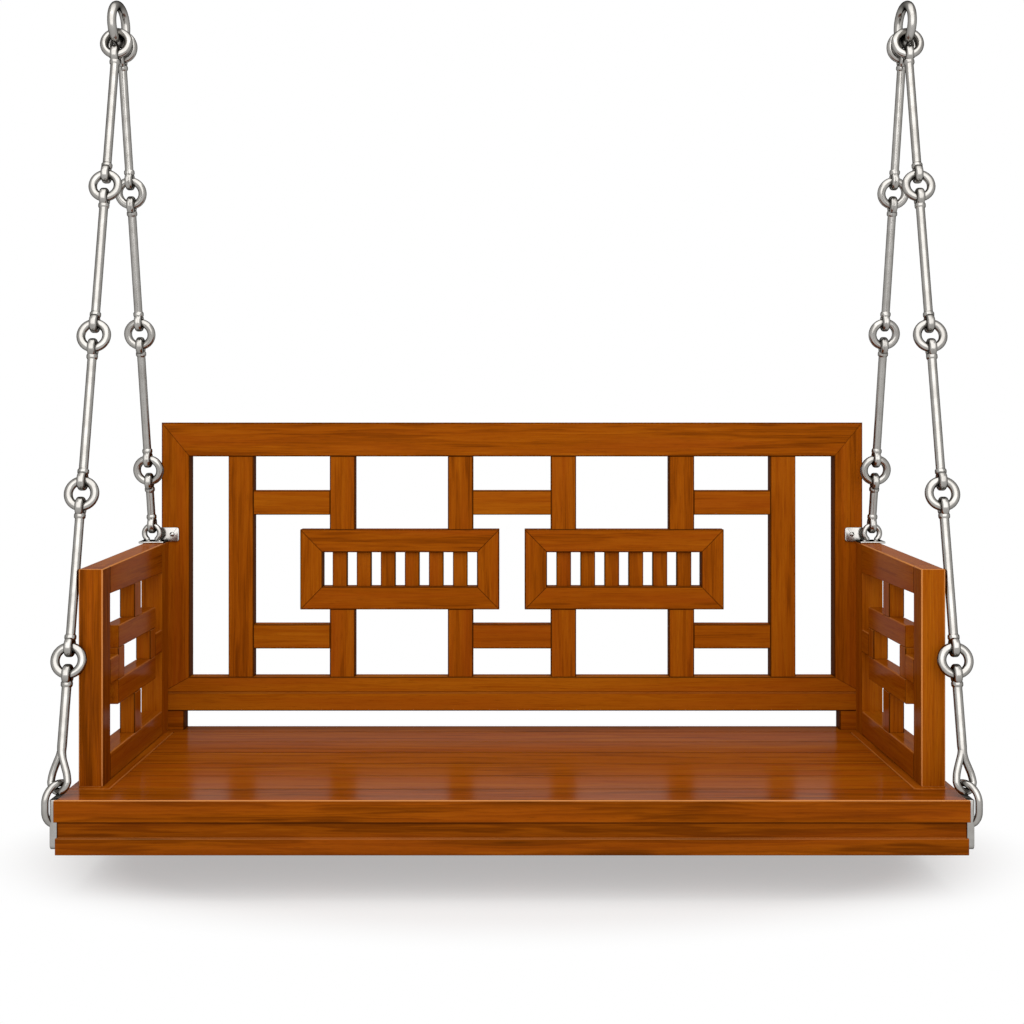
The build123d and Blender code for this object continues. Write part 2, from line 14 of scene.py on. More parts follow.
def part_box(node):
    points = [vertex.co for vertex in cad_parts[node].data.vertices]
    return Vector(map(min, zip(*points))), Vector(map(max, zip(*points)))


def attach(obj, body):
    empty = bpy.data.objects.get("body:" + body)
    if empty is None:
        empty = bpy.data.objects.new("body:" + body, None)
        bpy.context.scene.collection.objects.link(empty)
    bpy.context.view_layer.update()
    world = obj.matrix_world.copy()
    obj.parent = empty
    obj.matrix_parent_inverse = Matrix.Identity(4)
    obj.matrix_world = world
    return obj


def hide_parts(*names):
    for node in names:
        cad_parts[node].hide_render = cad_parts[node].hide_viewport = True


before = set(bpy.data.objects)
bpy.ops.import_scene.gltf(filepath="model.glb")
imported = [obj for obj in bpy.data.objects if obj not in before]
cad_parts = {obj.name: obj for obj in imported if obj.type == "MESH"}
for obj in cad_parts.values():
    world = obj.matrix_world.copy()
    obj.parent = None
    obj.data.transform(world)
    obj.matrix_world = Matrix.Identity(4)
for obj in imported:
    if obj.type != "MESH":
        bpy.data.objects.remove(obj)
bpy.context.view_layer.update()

MM = 0.001
IMAGE_SIZE = 1024
WHITE = "#FFFFFF"
# Numbers of a Mix node's sockets, which share their names.
FLOAT_A, FLOAT_B, MIX_A, MIX_B, MIX_COLOUR = 2, 3, 6, 7, 2
# Points nearer than this are one, in a copy of the CAD's mesh and in a shape made here.
CAD_SEAM, OWN_SEAM = 0.004 * MM, 0.001 * MM
# Faces that meet at more than this angle form an edge.
EDGE_ANGLE = radians(30)
HEAD_FACETS, SHANK_FACETS = 32, 16

log = logging.getLogger("jhoola")


class Side(Enum):
    """The two sides of the bench, with the sign of their X."""

    LEFT = -1
    RIGHT = 1

    @property
    def word(self) -> str:
        """Name of the side as the nodes spell it."""
        return self.name.lower()


class Body(Enum):
    """The bodies of the swing: what is fixed overhead and what swings below it."""

    HANGERS = "hangers"
    BENCH = "bench"


def linear(colour: str) -> tuple[float, float, float, float]:
    """Turn an sRGB hex colour into linear light.

    Args:
        colour: Six hex digits after a #.

    Returns:
        Linear red, green and blue, with an alpha of one.
    """
    parts = [int(colour[i:i + 2], 16) / 255 for i in (1, 3, 5)]
    red, green, blue = (p / 12.92 if p <= 0.04045 else ((p + 0.055) / 1.055) ** 2.4 for p in parts)
    return red, green, blue, 1.0


def add_node(tree: bpy.types.NodeTree, kind: str, settings: dict | None = None,
             inputs: dict | None = None) -> bpy.types.Node:
    """Add a node to a tree with its settings and links.

    Args:
        tree: Material, world or geometry tree that gets the node.
        kind: Blender's type name of the node.
        settings: Values of the node's own properties.
        inputs: Values by input name or number; an output socket is linked, anything else is set.

    Returns:
        The new node.
    """
    node = tree.nodes.new(kind)
    for name, value in (settings or {}).items():
        setattr(node, name, value)
    for name, value in (inputs or {}).items():
        if isinstance(value, bpy.types.NodeSocket):
            tree.links.new(value, node.inputs[name])
        else:
            node.inputs[name].default_value = value
    return node


def set_ramp(node: bpy.types.Node, stops: dict[float, tuple]) -> None:
    """Give a Color Ramp node its stops.

    Args:
        node: The Color Ramp node.
        stops: Linear colour at each place from 0 to 1.
    """
    elements = node.color_ramp.elements
    while len(elements) < len(stops):
        elements.new(0.5)
    for element, (place, colour) in zip(elements, sorted(stops.items())):
        element.position = place
        element.color = colour


def blank_material(name: str) -> bpy.types.Material:
    """Make a material with an empty node tree.

    Args:
        name: Name of the material.

    Returns:
        The new material.
    """
    material = bpy.data.materials.new(name)
    material.use_nodes = True
    material.node_tree.nodes.clear()
    return material


@dataclass(frozen=True)
class VarnishedTeak:
    """Plantation teak, planed, sanded and finished with a clear varnish.

    The eye sees broad soft bands of yellower and redder timber, fine short streaks along the grain,
    open pores, and a clear coat that mirrors what stands on it. Edges and some faces are painted
    lighter as a highlight, partly bare wood, or darker as painted shade, partly dark stain in joints.
    """

    name: str = "varnished_teak"
    gloss: float = 0.04
    gloss_roughness: float = 0.16
    worn_gloss: bool = False
    light: str = "#A65B0C"
    middle: str = "#954A06"
    dark: str = "#763703"
    red: str = "#93410A"
    streak: str = "#5A2A02"
    # Colours of the painted highlight, partly bare wood, and of the painted shade, partly dark stain.
    rubbed: str = "#D48C4E"
    stained: str = "#2E1402"
    ring_spacing: float = 6.0 * MM
    ring_wander: float = 30.0 * MM
    band_width: float = 15.0 * MM
    band_length: float = 260.0 * MM
    streak_width: float = 2.5 * MM
    streak_length: float = 110.0 * MM
    pore_width: float = 1.0 * MM
    pore_length: float = 26.0 * MM
    ring_share: float = 0.12
    streak_share: float = 0.34
    tone_share: float = 0.03
    noise_roughness: float = 0.55
    ramp: tuple[float, ...] = (0.18, 0.34, 0.50, 0.72)
    red_span: tuple[float, float] = (0.45, 0.65)
    red_share: float = 0.45
    pore_span: tuple[float, float] = (0.58, 0.74)
    pore_share: float = 0.4
    roughness: tuple[float, float] = (0.37, 0.53)
    relief: float = 0.15
    relief_depth: float = 0.2 * MM
    gloss_ior: float = 1.2

    def noise(self, tree: bpy.types.NodeTree, grain: bpy.types.NodeSocket, long: float,
              wide: float, detail: float) -> bpy.types.NodeSocket:
        """Add noise that is drawn out along the grain.

        Args:
            tree: The material's tree.
            grain: Place in the log.
            long: Size of a patch along the grain.
            wide: Size of a patch across it.
            detail: Levels of finer noise.

        Returns:
            The noise, from 0 to 1.
        """
        scale = (1 / long, 1 / wide, 1 / wide)
        place = add_node(tree, "ShaderNodeVectorMath", {"operation": "MULTIPLY"}, {0: grain, 1: scale})
        return add_node(tree, "ShaderNodeTexNoise", None,
                        {"Vector": place.outputs[0], "Scale": 1.0, "Detail": detail,
                         "Roughness": self.noise_roughness}).outputs["Fac"]

    def growth_rings(self, tree: bpy.types.NodeTree, grain: bpy.types.NodeSocket,
                     bend: bpy.types.NodeSocket) -> bpy.types.NodeSocket:
        """Add growth rings round the log's heart, which runs along the grain beside the board.

        Args:
            tree: The material's tree.
            grain: Place in the log.
            bend: Noise that makes the rings wander.

        Returns:
            A wave from 0 to 1 across the rings.
        """
        across = add_node(tree, "ShaderNodeVectorMath", {"operation": "MULTIPLY"},
                          {0: grain, 1: (0.0, 1.0, 1.0)})
        radius = add_node(tree, "ShaderNodeVectorMath", {"operation": "LENGTH"}, {0: across.outputs[0]})
        shifted = add_node(tree, "ShaderNodeMath", {"operation": "MULTIPLY_ADD"},
                           {0: bend, 1: self.ring_wander, 2: radius.outputs["Value"]})
        turns = add_node(tree, "ShaderNodeMath", {"operation": "MULTIPLY"},
                         {0: shifted.outputs[0], 1: 2 * pi / self.ring_spacing})
        wave = add_node(tree, "ShaderNodeMath", {"operation": "SINE"}, {0: turns.outputs[0]})
        return add_node(tree, "ShaderNodeMath", {"operation": "MULTIPLY_ADD"},
                        {0: wave.outputs[0], 1: 0.5, 2: 0.5}).outputs[0]

    def material(self) -> bpy.types.Material:
        """Build the material.

        Returns:
            A material that reads the boards' own grain and tone, their painted highlight and shade, and
            their polish where the finish has one.
        """
        material = blank_material(self.name)
        tree = material.node_tree
        grain = add_node(tree, "ShaderNodeAttribute", {"attribute_name": "grain"}).outputs["Vector"]
        tone = add_node(tree, "ShaderNodeAttribute", {"attribute_name": "tone"}).outputs["Fac"]
        edge = add_node(tree, "ShaderNodeAttribute", {"attribute_name": "edge"}).outputs["Fac"]

        bands = self.noise(tree, grain, self.band_length, self.band_width, 2.0)
        streaks = self.noise(tree, grain, self.streak_length, self.streak_width, 3.0)
        # Pores are finer than this in the real timber and are drawn this wide so that they show.
        pores = self.noise(tree, grain, self.pore_length, self.pore_width, 1.0)
        hue = self.noise(tree, grain, 2 * self.band_length, 2 * self.band_width, 1.0)
        rings = self.growth_rings(tree, grain, bands)

        figure = bands
        for share, finer in ((self.ring_share, rings), (self.streak_share, streaks)):
            figure = add_node(tree, "ShaderNodeMix", {"data_type": "FLOAT"},
                              {0: share, FLOAT_A: figure, FLOAT_B: finer}).outputs[0]
        toned = add_node(tree, "ShaderNodeMath", {"operation": "MULTIPLY_ADD"},
                         {0: tone, 1: self.tone_share, 2: figure})
        body = add_node(tree, "ShaderNodeValToRGB", None, {"Fac": toned.outputs[0]})
        woods = (self.streak, self.dark, self.middle, self.light)
        set_ramp(body, dict(zip(self.ramp, map(linear, woods))))
        redness = add_node(tree, "ShaderNodeMapRange", None,
                           {"Value": hue, "From Min": self.red_span[0], "From Max": self.red_span[1],
                            "To Max": self.red_share})
        open_pores = add_node(tree, "ShaderNodeMapRange", None,
                              {"Value": pores, "From Min": self.pore_span[0],
                               "From Max": self.pore_span[1], "To Max": self.pore_share})
        # Marks above zero paint a highlight, partly bare wood; marks below zero paint shade, partly
        # dark stain.
        highlight_share = add_node(tree, "ShaderNodeMath", {"operation": "MAXIMUM"}, {0: edge, 1: 0.0})
        shade_share = add_node(tree, "ShaderNodeMath", {"operation": "MULTIPLY"}, {0: edge, 1: -1.0})
        shade_share = add_node(tree, "ShaderNodeMath", {"operation": "MAXIMUM"},
                          {0: shade_share.outputs[0], 1: 0.0})
        colour = body.outputs["Color"]
        # Mixed over the body in turn: redder hue, open pores, the painted highlight and the painted
        # shade.
        for share, stain in ((redness, self.red), (open_pores, self.streak), (highlight_share, self.rubbed),
                             (shade_share, self.stained)):
            colour = add_node(tree, "ShaderNodeMix", {"data_type": "RGBA"},
                              {0: share.outputs[0], MIX_A: colour,
                               MIX_B: linear(stain)}).outputs[MIX_COLOUR]

        sheen = add_node(tree, "ShaderNodeMapRange", None,
                         {"Value": streaks, "To Min": self.roughness[0], "To Max": self.roughness[1]})
        relief = add_node(tree, "ShaderNodeMath", {"operation": "MULTIPLY_ADD"},
                          {0: open_pores.outputs[0], 1: -1.0, 2: streaks})
        bump = add_node(tree, "ShaderNodeBump", None,
                        {"Height": relief.outputs[0], "Strength": self.relief,
                         "Distance": self.relief_depth})
        coat = self.gloss
        if self.worn_gloss:
            polish = add_node(tree, "ShaderNodeAttribute", {"attribute_name": "polish"})
            coat = add_node(tree, "ShaderNodeMath", {"operation": "MULTIPLY"},
                            {0: polish.outputs["Fac"], 1: self.gloss}).outputs[0]
        shader = add_node(tree, "ShaderNodeBsdfPrincipled", None,
                          {"Base Color": colour, "Roughness": sheen.outputs[0],
                           "Normal": bump.outputs["Normal"], "Specular IOR Level": 0.0,
                           "Coat Weight": coat, "Coat Roughness": self.gloss_roughness,
                           "Coat IOR": self.gloss_ior})
        add_node(tree, "ShaderNodeOutputMaterial", None, {"Surface": shader.outputs[0]})
        return material


@dataclass(frozen=True)
class PolishedSteel:
    """Stainless steel bar and plate, ground and buffed by hand, under a clear coat with a grey tint
    that paints shade.

    The eye sees a bright core that falls away to dark edges, where it looks through more of the
    coat: painted shade standing in for dim surroundings reflected there, with faint cloudy patches of
    haze and fine buffing marks.
    """

    name: str = "polished_stainless"
    colour: str = "#FAF8F5"
    haze: str = "#E2DFDB"
    # Grey tint of the coat, which paints shade on faces seen at a slant.
    film: str = "#B2B1AF"
    haze_size: float = 22.0 * MM
    haze_span: tuple[float, float] = (0.35, 0.7)
    mark_size: float = 5.0 * MM
    roughness: tuple[float, float] = (0.14, 0.28)
    relief: float = 0.1
    relief_depth: float = 0.02 * MM

    def material(self) -> bpy.types.Material:
        """Build the material.

        Returns:
            A metal on Object coordinates.
        """
        material = blank_material(self.name)
        tree = material.node_tree
        place = add_node(tree, "ShaderNodeTexCoord").outputs["Object"]
        clouds = add_node(tree, "ShaderNodeTexNoise", None,
                          {"Vector": place, "Scale": 1 / self.haze_size, "Detail": 3.0})
        # Buffing marks are finer than this on the real bar and are drawn this wide so that they show.
        marks = add_node(tree, "ShaderNodeTexNoise", None,
                         {"Vector": place, "Scale": 1 / self.mark_size, "Detail": 2.0})
        share = add_node(tree, "ShaderNodeMapRange", None,
                         {"Value": clouds.outputs["Fac"], "From Min": self.haze_span[0],
                          "From Max": self.haze_span[1]})
        colour = add_node(tree, "ShaderNodeMix", {"data_type": "RGBA"},
                          {0: share.outputs[0], MIX_A: linear(self.colour), MIX_B: linear(self.haze)})
        rough = add_node(tree, "ShaderNodeMapRange", None,
                         {"Value": clouds.outputs["Fac"], "To Min": self.roughness[0],
                          "To Max": self.roughness[1]})
        bump = add_node(tree, "ShaderNodeBump", None,
                        {"Height": marks.outputs["Fac"], "Strength": self.relief,
                         "Distance": self.relief_depth})
        # With a coat IOR of 1 the coat reflects nothing; its tint only paints shade, darkest at the
        # edges of round bars.
        shader = add_node(tree, "ShaderNodeBsdfPrincipled", None,
                          {"Base Color": colour.outputs[MIX_COLOUR], "Metallic": 1.0,
                           "Roughness": rough.outputs[0], "Normal": bump.outputs["Normal"],
                           "Coat Weight": 1.0, "Coat IOR": 1.0, "Coat Tint": linear(self.film)})
        add_node(tree, "ShaderNodeOutputMaterial", None, {"Surface": shader.outputs[0]})
        return material


def mesh_object(name: str, shape: bmesh.types.BMesh) -> bpy.types.Object:
    """Turn a bmesh into an object at the origin.

    Args:
        name: Name of the piece.
        shape: The mesh data, which is freed.

    Returns:
        The new object, linked to the scene.
    """
    mesh = bpy.data.meshes.new(name)
    shape.to_mesh(mesh)
    shape.free()
    piece = bpy.data.objects.new(name, mesh)
    bpy.context.scene.collection.objects.link(piece)
    return piece


def joined(parts: list[bmesh.types.BMesh]) -> bmesh.types.BMesh:
    """Put several closed shapes into one mesh.

    Args:
        parts: The shapes, which are freed.

    Returns:
        All of them in one bmesh.
    """
    whole = bmesh.new()
    for part in parts:
        mesh = bpy.data.meshes.new("part")
        part.to_mesh(mesh)
        part.free()
        whole.from_mesh(mesh)
        bpy.data.meshes.remove(mesh)
    return whole


def solids_of(node: str) -> list[bmesh.types.BMesh]:
    """Split a copy of a CAD node's mesh into its separate solids.

    Args:
        node: Name of the CAD node.

    Returns:
        One closed mesh for each solid.
    """
    whole = bmesh.new()
    whole.from_mesh(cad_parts[node].data)
    bmesh.ops.remove_doubles(whole, verts=whole.verts, dist=CAD_SEAM)
    waiting = set(whole.faces)
    solids = []
    while waiting:
        seed = waiting.pop()
        island, unsearched = [seed], [seed]
        while unsearched:
            face = unsearched.pop()
            for edge in face.edges:
                if len(edge.link_faces) != 2:
                    continue
                for other in edge.link_faces:
                    if other in waiting:
                        waiting.remove(other)
                        island.append(other)
                        unsearched.append(other)
        island.sort(key=lambda face: face.index)
        solid = bmesh.new()
        corners = {v: solid.verts.new(v.co) for face in island for v in face.verts}
        for face in island:
            solid.faces.new([corners[v] for v in face.verts])
        solid.normal_update()
        solids.append((min(face.index for face in island), solid))
    whole.free()
    return [solid for _, solid in sorted(solids, key=lambda pair: pair[0])]


def extent(shape: bmesh.types.BMesh) -> tuple[Vector, Vector]:
    """Find how far a shape reaches.

    Args:
        shape: The shape.

    Returns:
        Its lowest and its highest corner.
    """
    low, high = (Vector([end(v.co[i] for v in shape.verts) for i in range(3)]) for end in (min, max))
    return low, high


# ------------------------------------------------------------ geometry trees


def geometry_tree(name: str, inputs: dict[str, str]) -> tuple[bpy.types.NodeTree,
                                                              bpy.types.NodeOutputs]:
    """Start a geometry tree with named inputs.

    Args:
        name: Name of the tree.
        inputs: Kind of value by the name of each input.

    Returns:
        The tree and the sockets that give its inputs.
    """
    tree = bpy.data.node_groups.new(name, "GeometryNodeTree")
    tree.interface.new_socket("Geometry", in_out="INPUT", socket_type="NodeSocketGeometry")
    for label, kind in inputs.items():
        tree.interface.new_socket(label, in_out="INPUT", socket_type=f"NodeSocket{kind}")
    tree.interface.new_socket("Geometry", in_out="OUTPUT", socket_type="NodeSocketGeometry")
    return tree, add_node(tree, "NodeGroupInput").outputs


def close_tree(tree: bpy.types.NodeTree, geometry: bpy.types.NodeSocket,
               material: bpy.types.NodeSocket) -> None:
    """End a tree with real geometry that has its material.

    Args:
        tree: The tree.
        geometry: What it has made so far.
        material: The material to set.
    """
    real = add_node(tree, "GeometryNodeRealizeInstances", None, {"Geometry": geometry})
    dressed = add_node(tree, "GeometryNodeSetMaterial", None,
                       {"Geometry": real.outputs[0], "Material": material})
    add_node(tree, "NodeGroupOutput", None, {"Geometry": dressed.outputs[0]})


def points_in_line(tree: bpy.types.NodeTree, inputs: bpy.types.NodeOutputs) -> bpy.types.NodeSocket:
    """Add points that step evenly from a first place.

    Args:
        tree: The tree.
        inputs: The sockets that give its inputs, with a Count, a First and a Step.

    Returns:
        The points.
    """
    return add_node(tree, "GeometryNodeMeshLine", {"mode": "OFFSET"},
                    {"Count": inputs["Count"], "Start Location": inputs["First"],
                     "Offset": inputs["Step"]}).outputs["Mesh"]


def rings_tree() -> bpy.types.NodeTree:
    """Tree of round rings in a line, each with its hole facing Y."""
    tree, inputs = geometry_tree("rings in a line", {
        "Ring Radius": "Float", "Wire Radius": "Float", "Count": "Int", "First": "Vector",
        "Step": "Vector", "Facets Round": "Int", "Facets Across": "Int", "Material": "Material"})
    path = add_node(tree, "GeometryNodeCurvePrimitiveCircle", None,
                    {"Resolution": inputs["Facets Round"], "Radius": inputs["Ring Radius"]})
    wire = add_node(tree, "GeometryNodeCurvePrimitiveCircle", None,
                    {"Resolution": inputs["Facets Across"], "Radius": inputs["Wire Radius"]})
    ring = add_node(tree, "GeometryNodeCurveToMesh", None,
                    {"Curve": path.outputs["Curve"], "Profile Curve": wire.outputs["Curve"]})
    upright = add_node(tree, "GeometryNodeTransform", None,
                       {"Geometry": ring.outputs[0], "Rotation": (pi / 2, 0.0, 0.0)})
    smooth = add_node(tree, "GeometryNodeSetShadeSmooth", None, {"Geometry": upright.outputs[0]})
    copies = add_node(tree, "GeometryNodeInstanceOnPoints", None,
                      {"Points": points_in_line(tree, inputs), "Instance": smooth.outputs[0]})
    close_tree(tree, copies.outputs[0], inputs["Material"])
    return tree


def repeat_tree() -> bpy.types.NodeTree:
    """Tree that welds the given shapes into one skin and repeats it in a line."""
    tree, inputs = geometry_tree("welded piece in a line", {
        "Count": "Int", "First": "Vector", "Step": "Vector", "Material": "Material"})
    weld = add_node(tree, "GeometryNodeMeshBoolean", {"operation": "UNION", "solver": "EXACT"},
                    {1: inputs["Geometry"], "Self Intersection": True})
    smooth = add_node(tree, "GeometryNodeSetShadeSmooth", None, {"Geometry": weld.outputs[0]})
    copies = add_node(tree, "GeometryNodeInstanceOnPoints", None,
                      {"Points": points_in_line(tree, inputs), "Instance": smooth.outputs[0]})
    close_tree(tree, copies.outputs[0], inputs["Material"])
    return tree


def bar_tree() -> bpy.types.NodeTree:
    """Tree that makes a round bar along the given line of points, as thick as their girth says."""
    tree, inputs = geometry_tree("bar along a path", {"Facets Across": "Int", "Material": "Material"})
    path = add_node(tree, "GeometryNodeMeshToCurve", None, {"Mesh": inputs["Geometry"]})
    girth = add_node(tree, "GeometryNodeInputNamedAttribute", {"data_type": "FLOAT"}, {"Name": "girth"})
    section = add_node(tree, "GeometryNodeCurvePrimitiveCircle", None,
                       {"Resolution": inputs["Facets Across"], "Radius": 1.0})
    bar = add_node(tree, "GeometryNodeCurveToMesh", None,
                   {"Curve": path.outputs[0], "Profile Curve": section.outputs["Curve"],
                    "Scale": girth.outputs["Attribute"], "Fill Caps": True})
    smooth = add_node(tree, "GeometryNodeSetShadeSmooth", None, {"Geometry": bar.outputs[0]})
    close_tree(tree, smooth.outputs[0], inputs["Material"])
    return tree


def raised(tree: bpy.types.NodeTree, shape: bpy.types.NodeSocket,
           height: bpy.types.NodeSocket) -> bpy.types.NodeSocket:
    """Move a shape up by a height that the tree works out."""
    way = add_node(tree, "ShaderNodeCombineXYZ", None, {"Z": height})
    return add_node(tree, "GeometryNodeTransform", None,
                    {"Geometry": shape, "Translation": way.outputs[0]}).outputs[0]


def screws_tree() -> bpy.types.NodeTree:
    """Tree of slotted round-head screws on the given points, each along the point's axis."""
    tree, inputs = geometry_tree("screws on points", {
        "Head Radius": "Float", "Head Height": "Float", "Ball Radius": "Float",
        "Shank Radius": "Float", "Shank Length": "Float", "Slot Width": "Float",
        "Slot Depth": "Float", "Seed": "Int", "Material": "Material"})
    ball = add_node(tree, "GeometryNodeMeshUVSphere", None,
                    {"Segments": HEAD_FACETS, "Rings": HEAD_FACETS, "Radius": inputs["Ball Radius"]})
    down = add_node(tree, "ShaderNodeMath", {"operation": "SUBTRACT"},
                    {0: inputs["Head Height"], 1: inputs["Ball Radius"]})
    # The block is wider than the ball, so that it leaves the whole cap that stands out as the head.
    wide = add_node(tree, "ShaderNodeMath", {"operation": "MULTIPLY"},
                    {0: inputs["Head Radius"], 1: 4.0})
    block_size = add_node(tree, "ShaderNodeCombineXYZ", None,
                          {"X": wide.outputs[0], "Y": wide.outputs[0], "Z": inputs["Head Height"]})
    block = add_node(tree, "GeometryNodeMeshCube", None, {"Size": block_size.outputs[0]})
    half = add_node(tree, "ShaderNodeMath", {"operation": "MULTIPLY"},
                    {0: inputs["Head Height"], 1: 0.5})
    head = add_node(tree, "GeometryNodeMeshBoolean", {"operation": "INTERSECT", "solver": "EXACT"})
    for shape, height in ((ball, down), (block, half)):
        tree.links.new(raised(tree, shape.outputs["Mesh"], height.outputs[0]), head.inputs[1])
    slot_size = add_node(tree, "ShaderNodeCombineXYZ", None,
                         {"X": wide.outputs[0], "Y": inputs["Slot Width"], "Z": inputs["Slot Depth"]})
    slot = add_node(tree, "GeometryNodeMeshCube", None, {"Size": slot_size.outputs[0]})
    high_slot = raised(tree, slot.outputs["Mesh"], inputs["Head Height"])
    cut = add_node(tree, "GeometryNodeMeshBoolean", {"operation": "DIFFERENCE", "solver": "EXACT"},
                   {0: head.outputs[0], 1: high_slot})
    shank = add_node(tree, "GeometryNodeMeshCylinder", None,
                     {"Vertices": SHANK_FACETS, "Radius": inputs["Shank Radius"],
                      "Depth": inputs["Shank Length"]})
    halfway = add_node(tree, "ShaderNodeMath", {"operation": "MULTIPLY"},
                       {0: inputs["Shank Length"], 1: -0.5})
    low_shank = raised(tree, shank.outputs["Mesh"], halfway.outputs[0])
    screw = add_node(tree, "GeometryNodeJoinGeometry")
    for part in (cut.outputs[0], low_shank):
        tree.links.new(part, screw.inputs[0])
    smooth = add_node(tree, "GeometryNodeSetShadeSmooth", None, {"Geometry": screw.outputs[0]})
    axis = add_node(tree, "GeometryNodeInputNamedAttribute", {"data_type": "FLOAT_VECTOR"},
                    {"Name": "axis"})
    twist = add_node(tree, "FunctionNodeRandomValue", {"data_type": "FLOAT"},
                     {2: 0.0, 3: pi, "Seed": inputs["Seed"]})
    turned = add_node(tree, "FunctionNodeAxisAngleToRotation", None, {"Angle": twist.outputs[1]})
    aimed = add_node(tree, "FunctionNodeAlignRotationToVector", {"axis": "Z"},
                     {"Vector": axis.outputs["Attribute"]})
    both = add_node(tree, "FunctionNodeRotateRotation", {"rotation_space": "LOCAL"},
                    {"Rotation": aimed.outputs[0], "Rotate By": turned.outputs[0]})
    copies = add_node(tree, "GeometryNodeInstanceOnPoints", None,
                      {"Points": inputs["Geometry"], "Instance": smooth.outputs[0],
                       "Rotation": both.outputs[0]})
    close_tree(tree, copies.outputs[0], inputs["Material"])
    return tree


def slats_tree() -> bpy.types.NodeTree:
    """Tree that repeats one slat in a line and cuts each from its own part of the log."""
    tree, inputs = geometry_tree("slats in a line", {
        "Count": "Int", "First": "Vector", "Step": "Vector", "Grain Shift": "Vector",
        "Seed": "Int", "Material": "Material"})
    copies = add_node(tree, "GeometryNodeInstanceOnPoints", None,
                      {"Points": points_in_line(tree, inputs), "Instance": inputs["Geometry"]})
    back = add_node(tree, "ShaderNodeVectorMath", {"operation": "SCALE"},
                    {0: inputs["Grain Shift"], "Scale": -1.0})
    draw = add_node(tree, "FunctionNodeRandomValue", {"data_type": "FLOAT_VECTOR"},
                    {0: back.outputs[0], 1: inputs["Grain Shift"], "Seed": inputs["Seed"]})
    marked = add_node(tree, "GeometryNodeStoreNamedAttribute",
                      {"data_type": "FLOAT_VECTOR", "domain": "INSTANCE"},
                      {"Geometry": copies.outputs[0], "Name": "shift", "Value": draw.outputs[0]})
    real = add_node(tree, "GeometryNodeRealizeInstances", None, {"Geometry": marked.outputs[0]})
    grain = add_node(tree, "GeometryNodeInputNamedAttribute", {"data_type": "FLOAT_VECTOR"},
                     {"Name": "grain"})
    shift = add_node(tree, "GeometryNodeInputNamedAttribute", {"data_type": "FLOAT_VECTOR"},
                     {"Name": "shift"})
    moved = add_node(tree, "ShaderNodeVectorMath", {"operation": "ADD"},
                     {0: grain.outputs["Attribute"], 1: shift.outputs["Attribute"]})
    stored = add_node(tree, "GeometryNodeStoreNamedAttribute",
                      {"data_type": "FLOAT_VECTOR", "domain": "POINT"},
                      {"Geometry": real.outputs[0], "Name": "grain", "Value": moved.outputs[0]})
    close_tree(tree, stored.outputs[0], inputs["Material"])
    return tree


def grown(name: str, tree: bpy.types.NodeTree, values: dict, start: bmesh.types.BMesh | None = None,
          place: Matrix | None = None, sharp: float = radians(40)) -> bpy.types.Object:
    """Make a plain piece from a geometry tree.

    Args:
        name: Name of the piece.
        tree: The tree that makes it.
        values: Value of each named input.
        start: Geometry that the tree starts from.
        place: Where the result goes.
        sharp: Edges sharper than this angle stay crisp.

    Returns:
        The piece, its place in its mesh and its modifier gone.
    """
    piece = mesh_object(name, start or bmesh.new())
    modifier = piece.modifiers.new(tree.name, "NODES")
    modifier.node_group = tree
    for item in tree.interface.items_tree:
        if item.in_out == "INPUT" and item.name in values:
            modifier[item.identifier] = values[item.name]
    graph = bpy.context.evaluated_depsgraph_get()
    plain = bpy.data.meshes.new_from_object(piece.evaluated_get(graph), depsgraph=graph)
    piece.modifiers.clear()
    piece.data = plain
    if place is not None:
        plain.transform(place)
    plain.set_sharp_from_angle(angle=sharp)
    return piece


